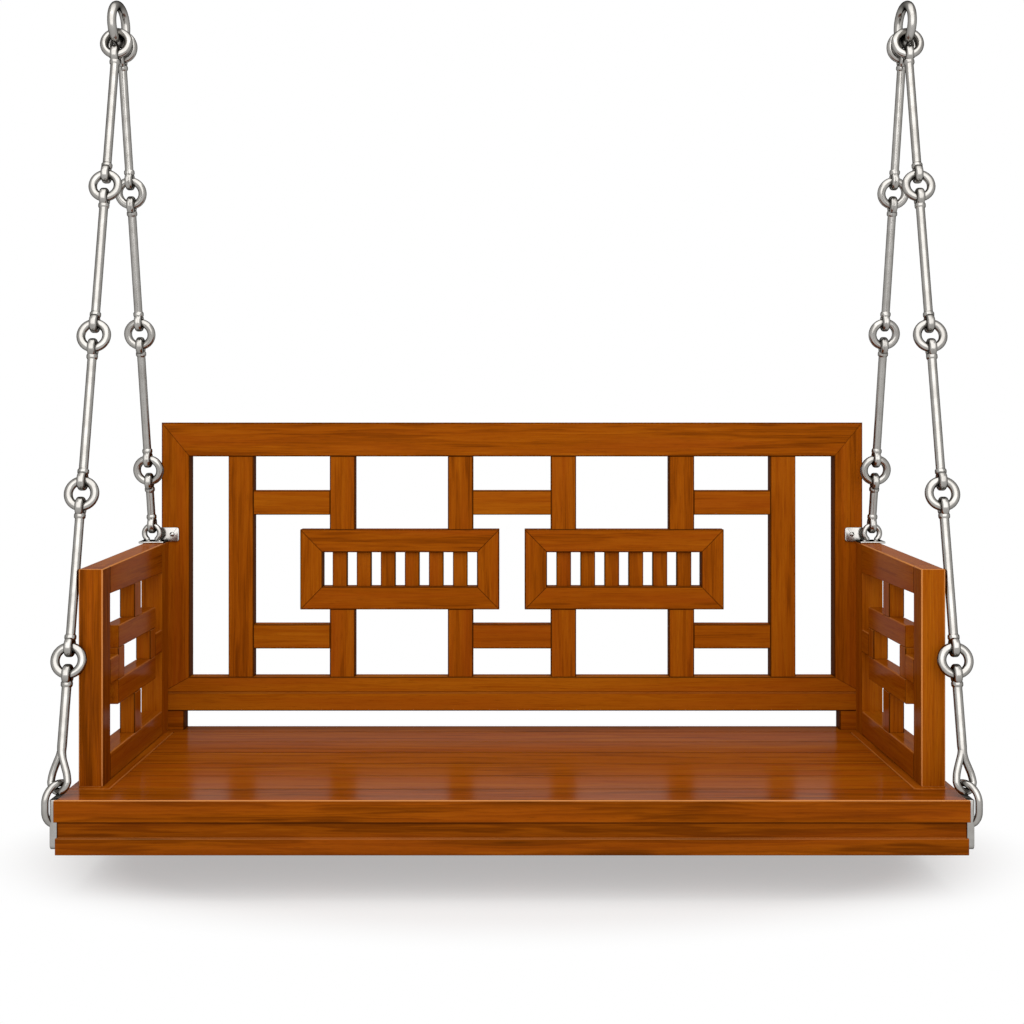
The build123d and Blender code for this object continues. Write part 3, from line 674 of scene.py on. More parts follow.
@dataclass
class Timber:
    """A sub-assembly of boards, each dressed with its own run of grain.

    An edge or face is marked 1 for a painted highlight, partly bare wood, and -1 for painted shade,
    partly dark stain in joints. A face counts as leaning or as facing a way when the part of its normal
    that way is more than that field says.
    """

    finish: VarnishedTeak
    edge_radius: float = 0.7 * MM
    flat_angle: float = radians(1)
    square_angle: float = radians(12)
    leaning: float = 0.3
    facing: float = 0.5
    log_long: float = 40.0
    log_half: float = 0.04
    heart_distance: tuple[float, float] = (0.03, 0.12)
    plain_nodes: tuple[str, ...] = ()
    sided_nodes: tuple[str, ...] = ()
    # Painted shade on edges, partly dark stain in the joints.
    dark_edge: float = -0.75
    tone_lift: float = 0.0
    # Tone shifts by node that paint light or shade on whole boards.
    node_tones: tuple[tuple[str, float], ...] = ()

    def nodes(self) -> list[str]:
        """Names of the CAD nodes that the sub-assembly stands for."""
        sided = [f"{side.word}_{name}" for side in Side for name in self.sided_nodes]
        return [*self.plain_nodes, *sided]

    def edge_mark(self, node: str, middle: Vector, normal: Vector) -> float:
        """Say how much painted highlight or shade a narrow slanting face of a board gets.

        Args:
            node: The board's node.
            middle: Middle of the face.
            normal: Direction that it faces.

        Returns:
            From -1 for painted shade, partly dark stain, to 1 for a painted highlight, partly bare
            wood.
        """
        return self.dark_edge

    def face_mark(self, node: str, middle: Vector, normal: Vector) -> float:
        """Say how much painted shade or light a wide face of a board gets, from -1 for painted shade to
        1 for painted light.
        """
        return 0.0

    def divide(self, solid: bmesh.types.BMesh, node: str) -> None:
        """Cut a board's faces where their painted shade differs; most boards need no cut."""

    def polish(self, place: Vector) -> float:
        """Say how well the varnish shines at a place, 1 where nothing has changed it."""
        return 1.0

    def board(self, solid: bmesh.types.BMesh, node: str, seed: str) -> None:
        """Round a board's edges and store its painted light and shade, its tone and where it lies in
        its log.

        Args:
            solid: The board's mesh, changed in place.
            node: The board's node.
            seed: Word that fixes the board's own run of grain.
        """
        bmesh.ops.dissolve_limit(solid, angle_limit=self.flat_angle, verts=solid.verts,
                                 edges=solid.edges)
        sharp = [e for e in solid.edges if len(e.link_faces) == 2
                 and e.calc_face_angle(0.0) > EDGE_ANGLE]
        bmesh.ops.bevel(solid, geom=sharp, offset=self.edge_radius, segments=2, profile=0.5,
                        affect="EDGES", clamp_overlap=True)
        self.divide(solid, node)
        edge = solid.faces.layers.float.new("edge")
        square = cos(self.square_angle)
        for face in solid.faces:
            slanting = max(abs(n) for n in face.normal) < square
            mark = self.edge_mark if slanting else self.face_mark
            # Each face stores its painted highlight or painted shade.
            face[edge] = mark(node, face.calc_center_median(), face.normal)
            face.smooth = slanting
        draw = random.Random(seed)
        low, high = extent(solid)
        thick, wide, long = sorted(range(3), key=lambda i: high[i] - low[i])
        heart = draw.uniform(*self.heart_distance) * draw.choice((-1, 1))
        shift = (draw.uniform(0, self.log_long), draw.uniform(-self.log_half, self.log_half), heart)
        # The node's tone shift paints light or shade on the whole board.
        tone = draw.uniform(-1, 1) + self.tone_lift + dict(self.node_tones).get(node, 0.0)
        grain = solid.verts.layers.float_vector.new("grain")
        shade = solid.verts.layers.float.new("tone")
        shine = solid.verts.layers.float.new("polish") if self.finish.worn_gloss else None
        middle = [sum(v.co[i] for v in solid.verts) / len(solid.verts) for i in range(3)]
        for vert in solid.verts:
            place = [vert.co[i] - middle[i] for i in (long, wide, thick)]
            vert[grain] = Vector(place) + Vector(shift)
            vert[shade] = tone
            if shine is not None:
                vert[shine] = self.polish(vert.co)

    def build(self, material: bpy.types.Material) -> list[bpy.types.Object]:
        """Build one piece for each node.

        Args:
            material: The timber's finish.

        Returns:
            The pieces, in the order of the nodes.
        """
        pieces = []
        for node in self.nodes():
            solids = solids_of(node)
            for index, solid in enumerate(solids):
                self.board(solid, node, f"{node} {index}")
            piece = mesh_object(f"teak_{node}", joined(solids))
            piece.data.materials.append(material)
            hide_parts(node)
            pieces.append(piece)
        return pieces

    def dress(self) -> None:
        """Build the boards in their finish and let them ride on the bench."""
        for piece in self.build(self.finish.material()):
            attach(piece, Body.BENCH.value)
            log.info("%s: %d faces", piece.name, len(piece.data.polygons))


@dataclass
class Seat(Timber):
    """Planked seat on its aprons and bearers."""

    plain_nodes: tuple[str, ...] = ("front_board", "rear_board", "seat_plank_1", "seat_plank_2",
                                    "seat_plank_3", "seat_plank_4", "seat_plank_5", "front_apron",
                                    "rear_apron", "seat_bearers")
    sided_nodes: tuple[str, ...] = ("end_board", "side_apron")
    long_aprons: tuple[str, ...] = ("front_apron", "rear_apron")
    tone_lift: float = 1.0
    # Painted shade on the aprons and on the front board.
    node_tones: tuple[tuple[str, float], ...] = (("front_apron", -3.8), ("rear_apron", -3.8),
                                                 ("front_board", -2.6))
    # Upper edges of these boards get a painted highlight, partly bare wood.
    rubbed_nodes: tuple[str, ...] = ("front_board", "left_end_board", "right_end_board")
    dark_edge: float = -0.5
    # Painted highlights on upper edges: partly bare wood on the front board and end boards, a pure
    # highlight on the front apron.
    rubbed_edge: float = 0.8
    end_edge: float = 0.2
    apron_edge: float = 0.4
    rear_polish: float = 0.35
    front_polish: float = 2.1
    side_polish: float = 0.4
    apron_step: float = 28.0 * MM
    shadow_gap: float = 3.0 * MM
    # Painted shadow in the strip under the board; painted shade on the rest of the aprons and on the
    # front board's front face.
    gap_stain: float = -0.85
    high_stain: float = -0.25
    low_stain: float = -0.16
    board_stain: float = -0.12

    def divide(self, solid: bmesh.types.BMesh, node: str) -> None:
        """Cut a strip below the board, where a painted shadow goes, off the faces of the long aprons.

        Args:
            solid: The board's mesh, changed in place.
            node: The board's node.
        """
        if node in self.long_aprons:
            bmesh.ops.bisect_plane(solid, geom=[*solid.verts, *solid.edges, *solid.faces],
                                   plane_co=(0, 0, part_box(node)[1].z - self.shadow_gap),
                                   plane_no=(0, 0, 1))

    def polish(self, place: Vector) -> float:
        """Clothes polish the seat's top towards its front edge and leave its rear and sides dull."""
        low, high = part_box("front_board")
        if place.z < high.z - self.edge_radius / 2:
            return self.side_polish
        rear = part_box("rear_board")[1].y
        share = (rear - place.y) / (rear - low.y)
        return self.rear_polish + (self.front_polish - self.rear_polish) * share

    def face_mark(self, node: str, middle: Vector, normal: Vector) -> float:
        """The long aprons get painted shade, most of it as a painted shadow just below the board, and
        the front board's front face a little.
        """
        if node not in self.long_aprons:
            front = node == "front_board" and normal.y < -self.facing
            return self.board_stain if front else 0.0
        if middle.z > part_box(node)[1].z - self.shadow_gap:
            return self.gap_stain
        return self.high_stain if middle.z > self.apron_step else self.low_stain

    def edge_mark(self, node: str, middle: Vector, normal: Vector) -> float:
        """Upper outer edges get a painted highlight, partly bare wood, and the joints and lower edges
        get painted shade, partly dark stain.
        """
        upper = normal.z > self.leaning
        if node in self.rubbed_nodes and upper and normal.y < self.leaning:
            return self.rubbed_edge if node == "front_board" else self.end_edge
        return self.apron_edge if node == "front_apron" and upper else self.dark_edge


@dataclass
class Back(Timber):
    """Back frame with its lattice and two slatted panels."""

    plain_nodes: tuple[str, ...] = ("back_top_rail", "back_bottom_rail", "back_base_rail",
                                    "back_legs", "short_uprights", "cross_bars")
    sided_nodes: tuple[str, ...] = ("back_stile", "outer_upright", "panel_rails", "panel_stiles")
    # Painted light lifts the lowest rails, the left outer upright and the cross bars out of their
    # shade.
    node_tones: tuple[tuple[str, float], ...] = (("back_bottom_rail", 5.0), ("back_base_rail", 6.0),
                                                 ("left_outer_upright", 1.2), ("cross_bars", 1.6))
    # Painted shade on the inner sides of the openings, and painted light on the joint between the two
    # lowest rails.
    opening_side: float = -0.7
    joint_edge: float = 0.12
    slat_shift: tuple[float, float, float] = (8.0, 0.03, 0.02)

    def face_mark(self, node: str, middle: Vector, normal: Vector) -> float:
        """The inner sides of the openings get painted shade."""
        inner = abs(normal.y) < self.facing and normal.z < self.facing
        return self.opening_side if inner else 0.0

    def edge_mark(self, node: str, middle: Vector, normal: Vector) -> float:
        """Edges get painted shade, partly dark stain, but the joint between the two lowest rails gets
        painted light that evens out its shade.
        """
        at_joint = (node == "back_bottom_rail" and normal.z < -self.leaning
                    or node == "back_base_rail" and normal.z > self.leaning)
        return self.joint_edge if at_joint and normal.y < 0 else self.dark_edge

    def slats(self, material: bpy.types.Material) -> list[bpy.types.Object]:
        """Make both rows of slats, each row from its first slat.

        Args:
            material: The timber's finish.

        Returns:
            One piece for each side.
        """
        tree = slats_tree()
        pieces = []
        for seed, side in enumerate(Side):
            node = f"{side.word}_slats"
            solids = sorted(solids_of(node), key=lambda solid: extent(solid)[0].x)
            lefts = [extent(solid)[0].x for solid in solids]
            self.board(solids[0], node, f"{node} 0")
            values = {"Count": len(solids), "First": (0.0, 0.0, 0.0),
                      "Step": ((lefts[-1] - lefts[0]) / (len(lefts) - 1), 0.0, 0.0),
                      "Grain Shift": self.slat_shift, "Seed": seed, "Material": material}
            piece = grown(f"teak_{node}", tree, values, solids[0])
            for spare in solids[1:]:
                spare.free()
            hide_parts(node)
            pieces.append(piece)
        return pieces

    def build(self, material: bpy.types.Material) -> list[bpy.types.Object]:
        """Build the frame's pieces and the slats.

        Args:
            material: The timber's finish.

        Returns:
            The pieces.
        """
        return super().build(material) + self.slats(material)


@dataclass
class Arms(Timber):
    """Two armrests with their ring frames."""

    sided_nodes: tuple[str, ...] = ("arm_front_stile", "arm_rear_stile", "arm_top_rail",
                                    "arm_foot_rail", "arm_lattice")
    tone_lift: float = 2.4
    # Painted shade on the left front stile and painted light on the right one.
    node_tones: tuple[tuple[str, float], ...] = (("left_arm_front_stile", -5.0),
                                                 ("right_arm_front_stile", 0.6))
    # Painted highlights on upper edges, partly hand wear, and painted shade on the sides of the front
    # stiles.
    rubbed_edge: float = 0.8
    lattice_edge: float = 0.25
    stile_side: float = -0.22

    def face_mark(self, node: str, middle: Vector, normal: Vector) -> float:
        """The sides of the front stiles get painted shade, as dark as the rails that they meet."""
        side = node.endswith("arm_front_stile") and abs(normal.x) > self.facing
        return self.stile_side if side else 0.0

    def edge_mark(self, node: str, middle: Vector, normal: Vector) -> float:
        """The top rail's upper edges and the front stile's front and upper edges get a painted
        highlight, partly hand wear, and the other parts' upper edges a fainter one.
        """
        front, upper = normal.y < -self.leaning, normal.z > self.leaning
        if node.endswith("arm_front_stile") and (front or upper):
            return self.rubbed_edge
        if upper:
            return self.rubbed_edge if node.endswith("arm_top_rail") else self.lattice_edge
        return self.dark_edge


# ------------------------------------------------------------ steel


def turned(stations: list[tuple[float, float]], facets: int) -> bmesh.types.BMesh:
    """Turn an outline round Z.

    Args:
        stations: Radius and height of each station, the first and last on the axis.
        facets: Faces round the axis.

    Returns:
        A closed round shape.
    """
    shape = bmesh.new()
    rows = []
    for radius, height in stations:
        count = facets if radius > 0 else 1
        rows.append([shape.verts.new((radius * cos(2 * pi * i / facets),
                                      radius * sin(2 * pi * i / facets), height))
                     for i in range(count)])
    for low, high in zip(rows, rows[1:]):
        for i in range(facets):
            ends = (low[i % len(low)], low[(i + 1) % len(low)],
                    high[(i + 1) % len(high)], high[i % len(high)])
            shape.faces.new(list(dict.fromkeys(ends)))
    bmesh.ops.recalc_face_normals(shape, faces=shape.faces)
    return shape


def rounded_rectangle(wide: float, high: float, corner: float, steps: int) -> list[tuple[float, float]]:
    """Outline of a rectangle with round corners.

    Args:
        wide: Its width.
        high: Its height.
        corner: Radius of its corners.
        steps: Pieces in each corner.

    Returns:
        Its points, in order round its middle.
    """
    points = []
    for quarter, (across, up) in enumerate(((1, 1), (-1, 1), (-1, -1), (1, -1))):
        for i in range(steps + 1):
            angle = (quarter + i / steps) * pi / 2
            points.append((across * (wide / 2 - corner) + corner * cos(angle),
                           up * (high / 2 - corner) + corner * sin(angle)))
    return points


def bar_line(points: list[Vector], girths: list[float]) -> bmesh.types.BMesh:
    """Line of points for a bar.

    Args:
        points: The middle of the bar.
        girths: The bar's radius at each point.

    Returns:
        A mesh of edges whose points hold their girth.
    """
    line = bmesh.new()
    girth = line.verts.layers.float.new("girth")
    corners = []
    for point, radius in zip(points, girths):
        vert = line.verts.new(point)
        vert[girth] = radius
        corners.append(vert)
    for low, high in zip(corners, corners[1:]):
        line.edges.new((low, high))
    return line


def smooth_line(points: list[Vector], steps: int) -> list[Vector]:
    """Curve that passes smoothly through points.

    Args:
        points: The points.
        steps: Pieces between two of them.

    Returns:
        Points on the curve.
    """
    ends = [2 * points[0] - points[1], *points, 2 * points[-1] - points[-2]]
    line = []
    for a, b, c, d in zip(ends, ends[1:], ends[2:], ends[3:]):
        for i in range(steps):
            t = i / steps
            line.append(0.5 * (2 * b + (c - a) * t + (2 * a - 5 * b + 4 * c - d) * t * t
                               + (3 * b - a - 3 * c + d) * t ** 3))
    return [*line, points[-1].copy()]


def plate(outline: list[Vector], depth: Vector, edge_radius: float) -> bmesh.types.BMesh:
    """Flat plate with softened edges.

    Args:
        outline: Points of one face.
        depth: The way through the plate.
        edge_radius: Radius of its edges.

    Returns:
        A closed plate.
    """
    shape = bmesh.new()
    face = shape.faces.new([shape.verts.new(point) for point in outline])
    far_side = bmesh.ops.extrude_face_region(shape, geom=[face])["geom"]
    moved = [part for part in far_side if isinstance(part, bmesh.types.BMVert)]
    bmesh.ops.translate(shape, vec=depth, verts=moved)
    bmesh.ops.recalc_face_normals(shape, faces=shape.faces)
    sharp = [e for e in shape.edges if e.calc_face_angle(0.0) > EDGE_ANGLE]
    bmesh.ops.bevel(shape, geom=sharp, offset=edge_radius, segments=3, profile=0.5,
                    affect="EDGES", clamp_overlap=True)
    return shape


def frame_at(start: Vector, end: Vector) -> Matrix:
    """Frame of a chain at its first link, its Z running back up the chain.

    Args:
        start: Where the chain hangs from.
        end: What it carries.

    Returns:
        The frame, with its X as near to the bench's X as it can be.
    """
    up = (start - end).normalized()
    across = (Vector((1, 0, 0)) - up * up.x).normalized()
    frame_matrix = Matrix((across, up.cross(across), up)).transposed().to_4x4()
    frame_matrix.translation = start
    return frame_matrix


class Strand(Enum):
    """The two strands on each side, with the number of rings and their spacing."""

    FRONT = (5, 290.5 * MM)
    REAR = (4, 277.0 * MM)

    @property
    def word(self) -> str:
        """Name of the strand as the nodes spell it."""
        return self.name.lower()

    @property
    def rings(self) -> int:
        """How many rings it has."""
        return self.value[0]

    @property
    def pitch(self) -> float:
        """Distance between two of its rings."""
        return self.value[1]


@dataclass
class Hardware:
    """Steelwork that all rides on the bench but for the two top rings.

    The chains and the fittings meet at the hooks and loops, whose sizes both need.
    """

    finish: bpy.types.Material
    rings: bpy.types.NodeTree
    weld: bpy.types.NodeTree
    bar: bpy.types.NodeTree
    facets: int = 24
    hook_out: float = 13.6 * MM
    hook_front_in: float = 23.0 * MM
    hook_rise: float = 23.0 * MM
    hook_radius: float = 28.0 * MM
    hook_yaw: float = radians(36)
    loop_out: float = 29.0 * MM
    loop_front: float = 15.0 * MM
    loop_rise: float = 33.5 * MM
    loop_wire_radius: float = 5.5 * MM

    def seat_corner(self) -> Vector:
        """Upper front right-hand corner of the seat."""
        low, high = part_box("front_board")
        return Vector((high.x, low.y, high.z))

    def arm_corner(self) -> Vector:
        """Inner rear top corner of the right-hand arm."""
        low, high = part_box("right_arm_rear_stile")
        return Vector((low.x, high.y, high.z))

    def welded(self, node: str, parts: list[bmesh.types.BMesh], place: Matrix | None = None,
               count: int = 1, step: float = 0.0) -> None:
        """Weld parts into one skin, repeat it down a chain and let it stand for its node.

        Args:
            node: The node that it replaces.
            parts: Closed shapes that overlap.
            place: Frame that they are drawn in.
            count: How many the chain has.
            step: Distance between two of them.
        """
        values = {"Count": count, "First": (0.0, 0.0, 0.0), "Step": (0.0, 0.0, -step),
                  "Material": self.finish}
        self.finished(grown(f"steel_{node}", self.weld, values, joined(parts), place), node)

    def bent_bar(self, points: list[Vector], girths: list[float]) -> bmesh.types.BMesh:
        """Make a round bar along a line of points.

        Args:
            points: The middle of the bar.
            girths: The bar's radius at each point.

        Returns:
            The bar as a closed shape.
        """
        values = {"Facets Across": self.facets, "Material": self.finish}
        scratch = grown("bar", self.bar, values, bar_line(points, girths))
        shape = bmesh.new()
        shape.from_mesh(scratch.data)
        bpy.data.objects.remove(scratch)
        bmesh.ops.recalc_face_normals(shape, faces=shape.faces)
        return shape

    def finished(self, piece: bpy.types.Object, node: str, body: Body = Body.BENCH) -> None:
        """Let a piece stand for its node and ride on its body.

        Args:
            piece: The piece.
            node: The node that it replaces.
            body: The body that it rides on.
        """
        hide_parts(node)
        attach(piece, body.value)
        log.info("%s: %d faces", piece.name, len(piece.data.polygons))


@dataclass
class Chains(Hardware):
    """Two top rings and the four strands of rods and rings that hang from them."""

    top_ring_radius: float = 35.5 * MM
    top_wire_radius: float = 8.48 * MM
    top_ring_yaw: float = radians(6)
    ring_radius: float = 23.25 * MM
    wire_radius: float = 7.75 * MM
    ring_facets: int = 64
    link_gap: float = 0.3 * MM
    hang_gap: float = 0.75 * MM
    rod_radius: float = 8.0 * MM
    collar_radius: float = 10.0 * MM
    # How far the collar falls away at each of its stations, and how far all stations of the
    # shoulder lie from the eye's middle.
    collar_falls: tuple[float, ...] = (0.7 * MM, 0.0, 0.0, 0.4 * MM, 1.2 * MM)
    shoulder_reach: tuple[float, ...] = (9.0 * MM, 10.5 * MM, 12.5 * MM, 14.0 * MM, 18.6 * MM,
                                         19.8 * MM, 20.7 * MM, 21.8 * MM, 22.8 * MM)
    eye_radius: float = 12.95 * MM
    eye_wide: float = 14.0 * MM
    eye_thick: float = 9.4 * MM
    eye_corner: float = 4.6 * MM
    eye_corner_steps: int = 4
    eye_gap: float = 0.5 * MM
    loop_gap: float = 0.75 * MM
    tear_radius: float = 16.5 * MM
    tear_wire_radius: float = 6.25 * MM
    tear_drop: float = 13.4 * MM
    tear_turn: float = radians(20)
    tear_neck: float = 56.0 * MM
    tear_neck_in: float = 1.0 * MM
    # Millimetres aside and up from the bend's middle, where the wire comes down and goes up again.
    tear_down: tuple[tuple[float, float], ...] = ((0, 66), (0, 56), (0.6, 47), (3.6, 36.5),
                                                  (8.6, 24.5), (13.8, 12))
    tear_up: tuple[tuple[float, float], ...] = ((-15.0, 11), (-11.6, 22), (-7.4, 32.5),
                                                (-3.6, 42), (-1.2, 52))
    bend_steps: int = 16
    line_steps: int = 4
    # The wire swells to nearly the rod's girth from this many millimetres up, over this many.
    swell_start: float = 34.0
    swell_long: float = 20.0
    swell_gap: float = 0.1 * MM
    swell_side: float = -0.5 * MM

    def ends(self, side: Side, strand: Strand) -> tuple[Vector, Vector]:
        """Where a strand hangs from and what it reaches.

        Args:
            side: Side of the bench.
            strand: Which strand.

        Returns:
            The top of its first ring's hole, and the middle of the wire that it holds.
        """
        low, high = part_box(f"{side.word}_top_ring")
        ride = self.top_ring_radius - self.top_wire_radius - self.wire_radius - self.hang_gap
        aside = (self.wire_radius + self.link_gap / 2) / cos(self.top_ring_yaw)
        drop = sqrt(ride * ride - aside * aside)
        yaw = side.value * self.top_ring_yaw
        rearward = Vector((-sin(yaw), cos(yaw), 0)) * aside
        way = -1 if strand is Strand.FRONT else 1
        start = (low + high) / 2 + way * rearward - Vector((0, 0, drop))
        if strand is Strand.FRONT:
            corner = self.seat_corner()
            out = self.hook_out - self.hook_radius * sin(self.hook_yaw)
            end = corner + Vector((out, self.hook_front_in, self.hook_rise))
        else:
            corner = self.arm_corner()
            end = corner + Vector((self.loop_out, -self.loop_front, self.loop_rise))
        end.x *= side.value
        return start, end

    def eye(self, height: float) -> bmesh.types.BMesh:
        """Flattened eye whose hole faces sideways.

        Args:
            height: Height of its middle.

        Returns:
            A closed ring of strap.
        """
        section = rounded_rectangle(self.eye_wide, self.eye_thick, self.eye_corner,
                                    self.eye_corner_steps)
        shape = bmesh.new()
        rows = []
        for i in range(2 * self.facets):
            angle = pi * i / self.facets
            rows.append([shape.verts.new((x, (self.eye_radius + r) * cos(angle),
                                          height + (self.eye_radius + r) * sin(angle)))
                         for x, r in section])
        for i, row in enumerate(rows):
            after = rows[(i + 1) % len(rows)]
            for j in range(len(row)):
                k = (j + 1) % len(row)
                shape.faces.new((row[j], row[k], after[k], after[j]))
        bmesh.ops.remove_doubles(shape, verts=shape.verts, dist=OWN_SEAM)
        bmesh.ops.recalc_face_normals(shape, faces=shape.faces)
        return shape

    def shoulder(self) -> list[tuple[float, float]]:
        """Outline of the shoulder between an eye and its rod, from the eye's middle outwards."""
        r = self.rod_radius
        radii = [0.0, r, *(self.collar_radius - fall for fall in self.collar_falls), r, r]
        return list(zip(radii, self.shoulder_reach))

    def rod(self, top: float, low: float) -> list[bmesh.types.BMesh]:
        """Rod with a shoulder and an eye at each end.

        Args:
            top: Height of the upper eye.
            low: Height of the lower eye.

        Returns:
            The parts, which overlap.
        """
        outline = [(radius, top - down) for radius, down in self.shoulder()]
        outline += [(radius, low + up) for radius, up in reversed(self.shoulder())]
        return [self.eye(top), self.eye(low), turned(outline, self.facets)]

    def tear_rod(self, top: float, hook: float, turn: float) -> list[bmesh.types.BMesh]:
        """Rod with an eye above, whose lower end is bent round into a teardrop.

        Args:
            top: Height of the eye.
            hook: Height of the hook that the teardrop holds.
            turn: Angle of the teardrop round the rod.

        Returns:
            The parts, which overlap.
        """
        middle = hook - self.tear_drop + self.tear_radius
        r, wire = self.tear_radius, self.tear_wire_radius
        neck = middle + self.tear_neck
        outline = [(radius, top - down) for radius, down in self.shoulder()]
        outline += [(self.rod_radius, neck), (0.0, neck - self.tear_neck_in)]
        down, up = ([Vector((x * MM, 0, middle + z * MM)) for x, z in leg]
                    for leg in (self.tear_down, self.tear_up))
        turns = [pi * i / self.bend_steps for i in range(self.bend_steps + 1)]
        bend = [Vector((r * cos(a), 0, middle - r * sin(a))) for a in turns]
        line = smooth_line([*down, *bend, *up], self.line_steps)
        girths = []
        for point in line:
            rise = (point.z - middle) / MM
            swell = min(max((rise - self.swell_start) / self.swell_long, 0.0), 1.0)
            thick = wire + (self.rod_radius - self.swell_gap - wire) * swell
            girths.append(thick if point.x >= self.swell_side else wire)
        strand = self.bent_bar(line, girths)
        bmesh.ops.rotate(strand, verts=strand.verts, cent=(0, 0, 0),
                         matrix=Matrix.Rotation(turn, 3, "Z"))
        return [self.eye(top), turned(outline, self.facets), strand]

    def ring_row(self, node: str, place: Matrix, radii: tuple[float, float], count: int = 1,
                 first: float = 0.0, step: float = 0.0, body: Body = Body.BENCH) -> None:
        """Make a row of rings and let it stand for its node.

        Args:
            node: The node that it replaces.
            place: Frame that the row is drawn in.
            radii: Radius of a ring and of its wire.
            count: How many rings the row has.
            first: Height of the first one's middle.
            step: Distance between two of them.
            body: The body that it rides on.
        """
        values = {"Ring Radius": radii[0], "Wire Radius": radii[1], "Count": count,
                  "First": (0.0, 0.0, first), "Step": (0.0, 0.0, -step),
                  "Facets Round": self.ring_facets, "Facets Across": self.facets,
                  "Material": self.finish}
        self.finished(grown(f"steel_{node}", self.rings, values, place=place), node, body)

    def dress(self) -> None:
        """Build every ring and rod of both sides."""
        eye_drop = self.ring_radius + self.eye_radius - (
            self.wire_radius + self.eye_thick / 2 + self.eye_gap)
        lift = self.eye_radius - (self.loop_wire_radius + self.eye_thick / 2 + self.loop_gap)
        top = -self.ring_radius - eye_drop
        for side in Side:
            low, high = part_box(f"{side.word}_top_ring")
            turn = Matrix.Rotation(side.value * self.top_ring_yaw + pi / 2, 4, "Z")
            self.ring_row(f"{side.word}_top_ring", Matrix.Translation((low + high) / 2) @ turn,
                          (self.top_ring_radius, self.top_wire_radius), body=Body.HANGERS)
            for strand in Strand:
                start, end = self.ends(side, strand)
                place = frame_at(start, end)
                length = (start - end).length
                name = f"{side.word}_{strand.word}"
                rods, pitch = strand.rings - 1, strand.pitch
                self.ring_row(f"{name}_rings", place, (self.ring_radius, self.wire_radius),
                              strand.rings, -self.ring_radius, pitch)
                parts = self.rod(top, top - pitch + 2 * eye_drop)
                self.welded(f"{name}_rods", parts, place, rods, pitch)
                last = top - rods * pitch
                if strand is Strand.FRONT:
                    parts = self.tear_rod(last, -length, side.value * self.tear_turn)
                    self.welded(f"{side.word}_hook_rod", parts, place)
                else:
                    self.welded(f"{side.word}_short_rod", self.rod(last, lift - length), place)


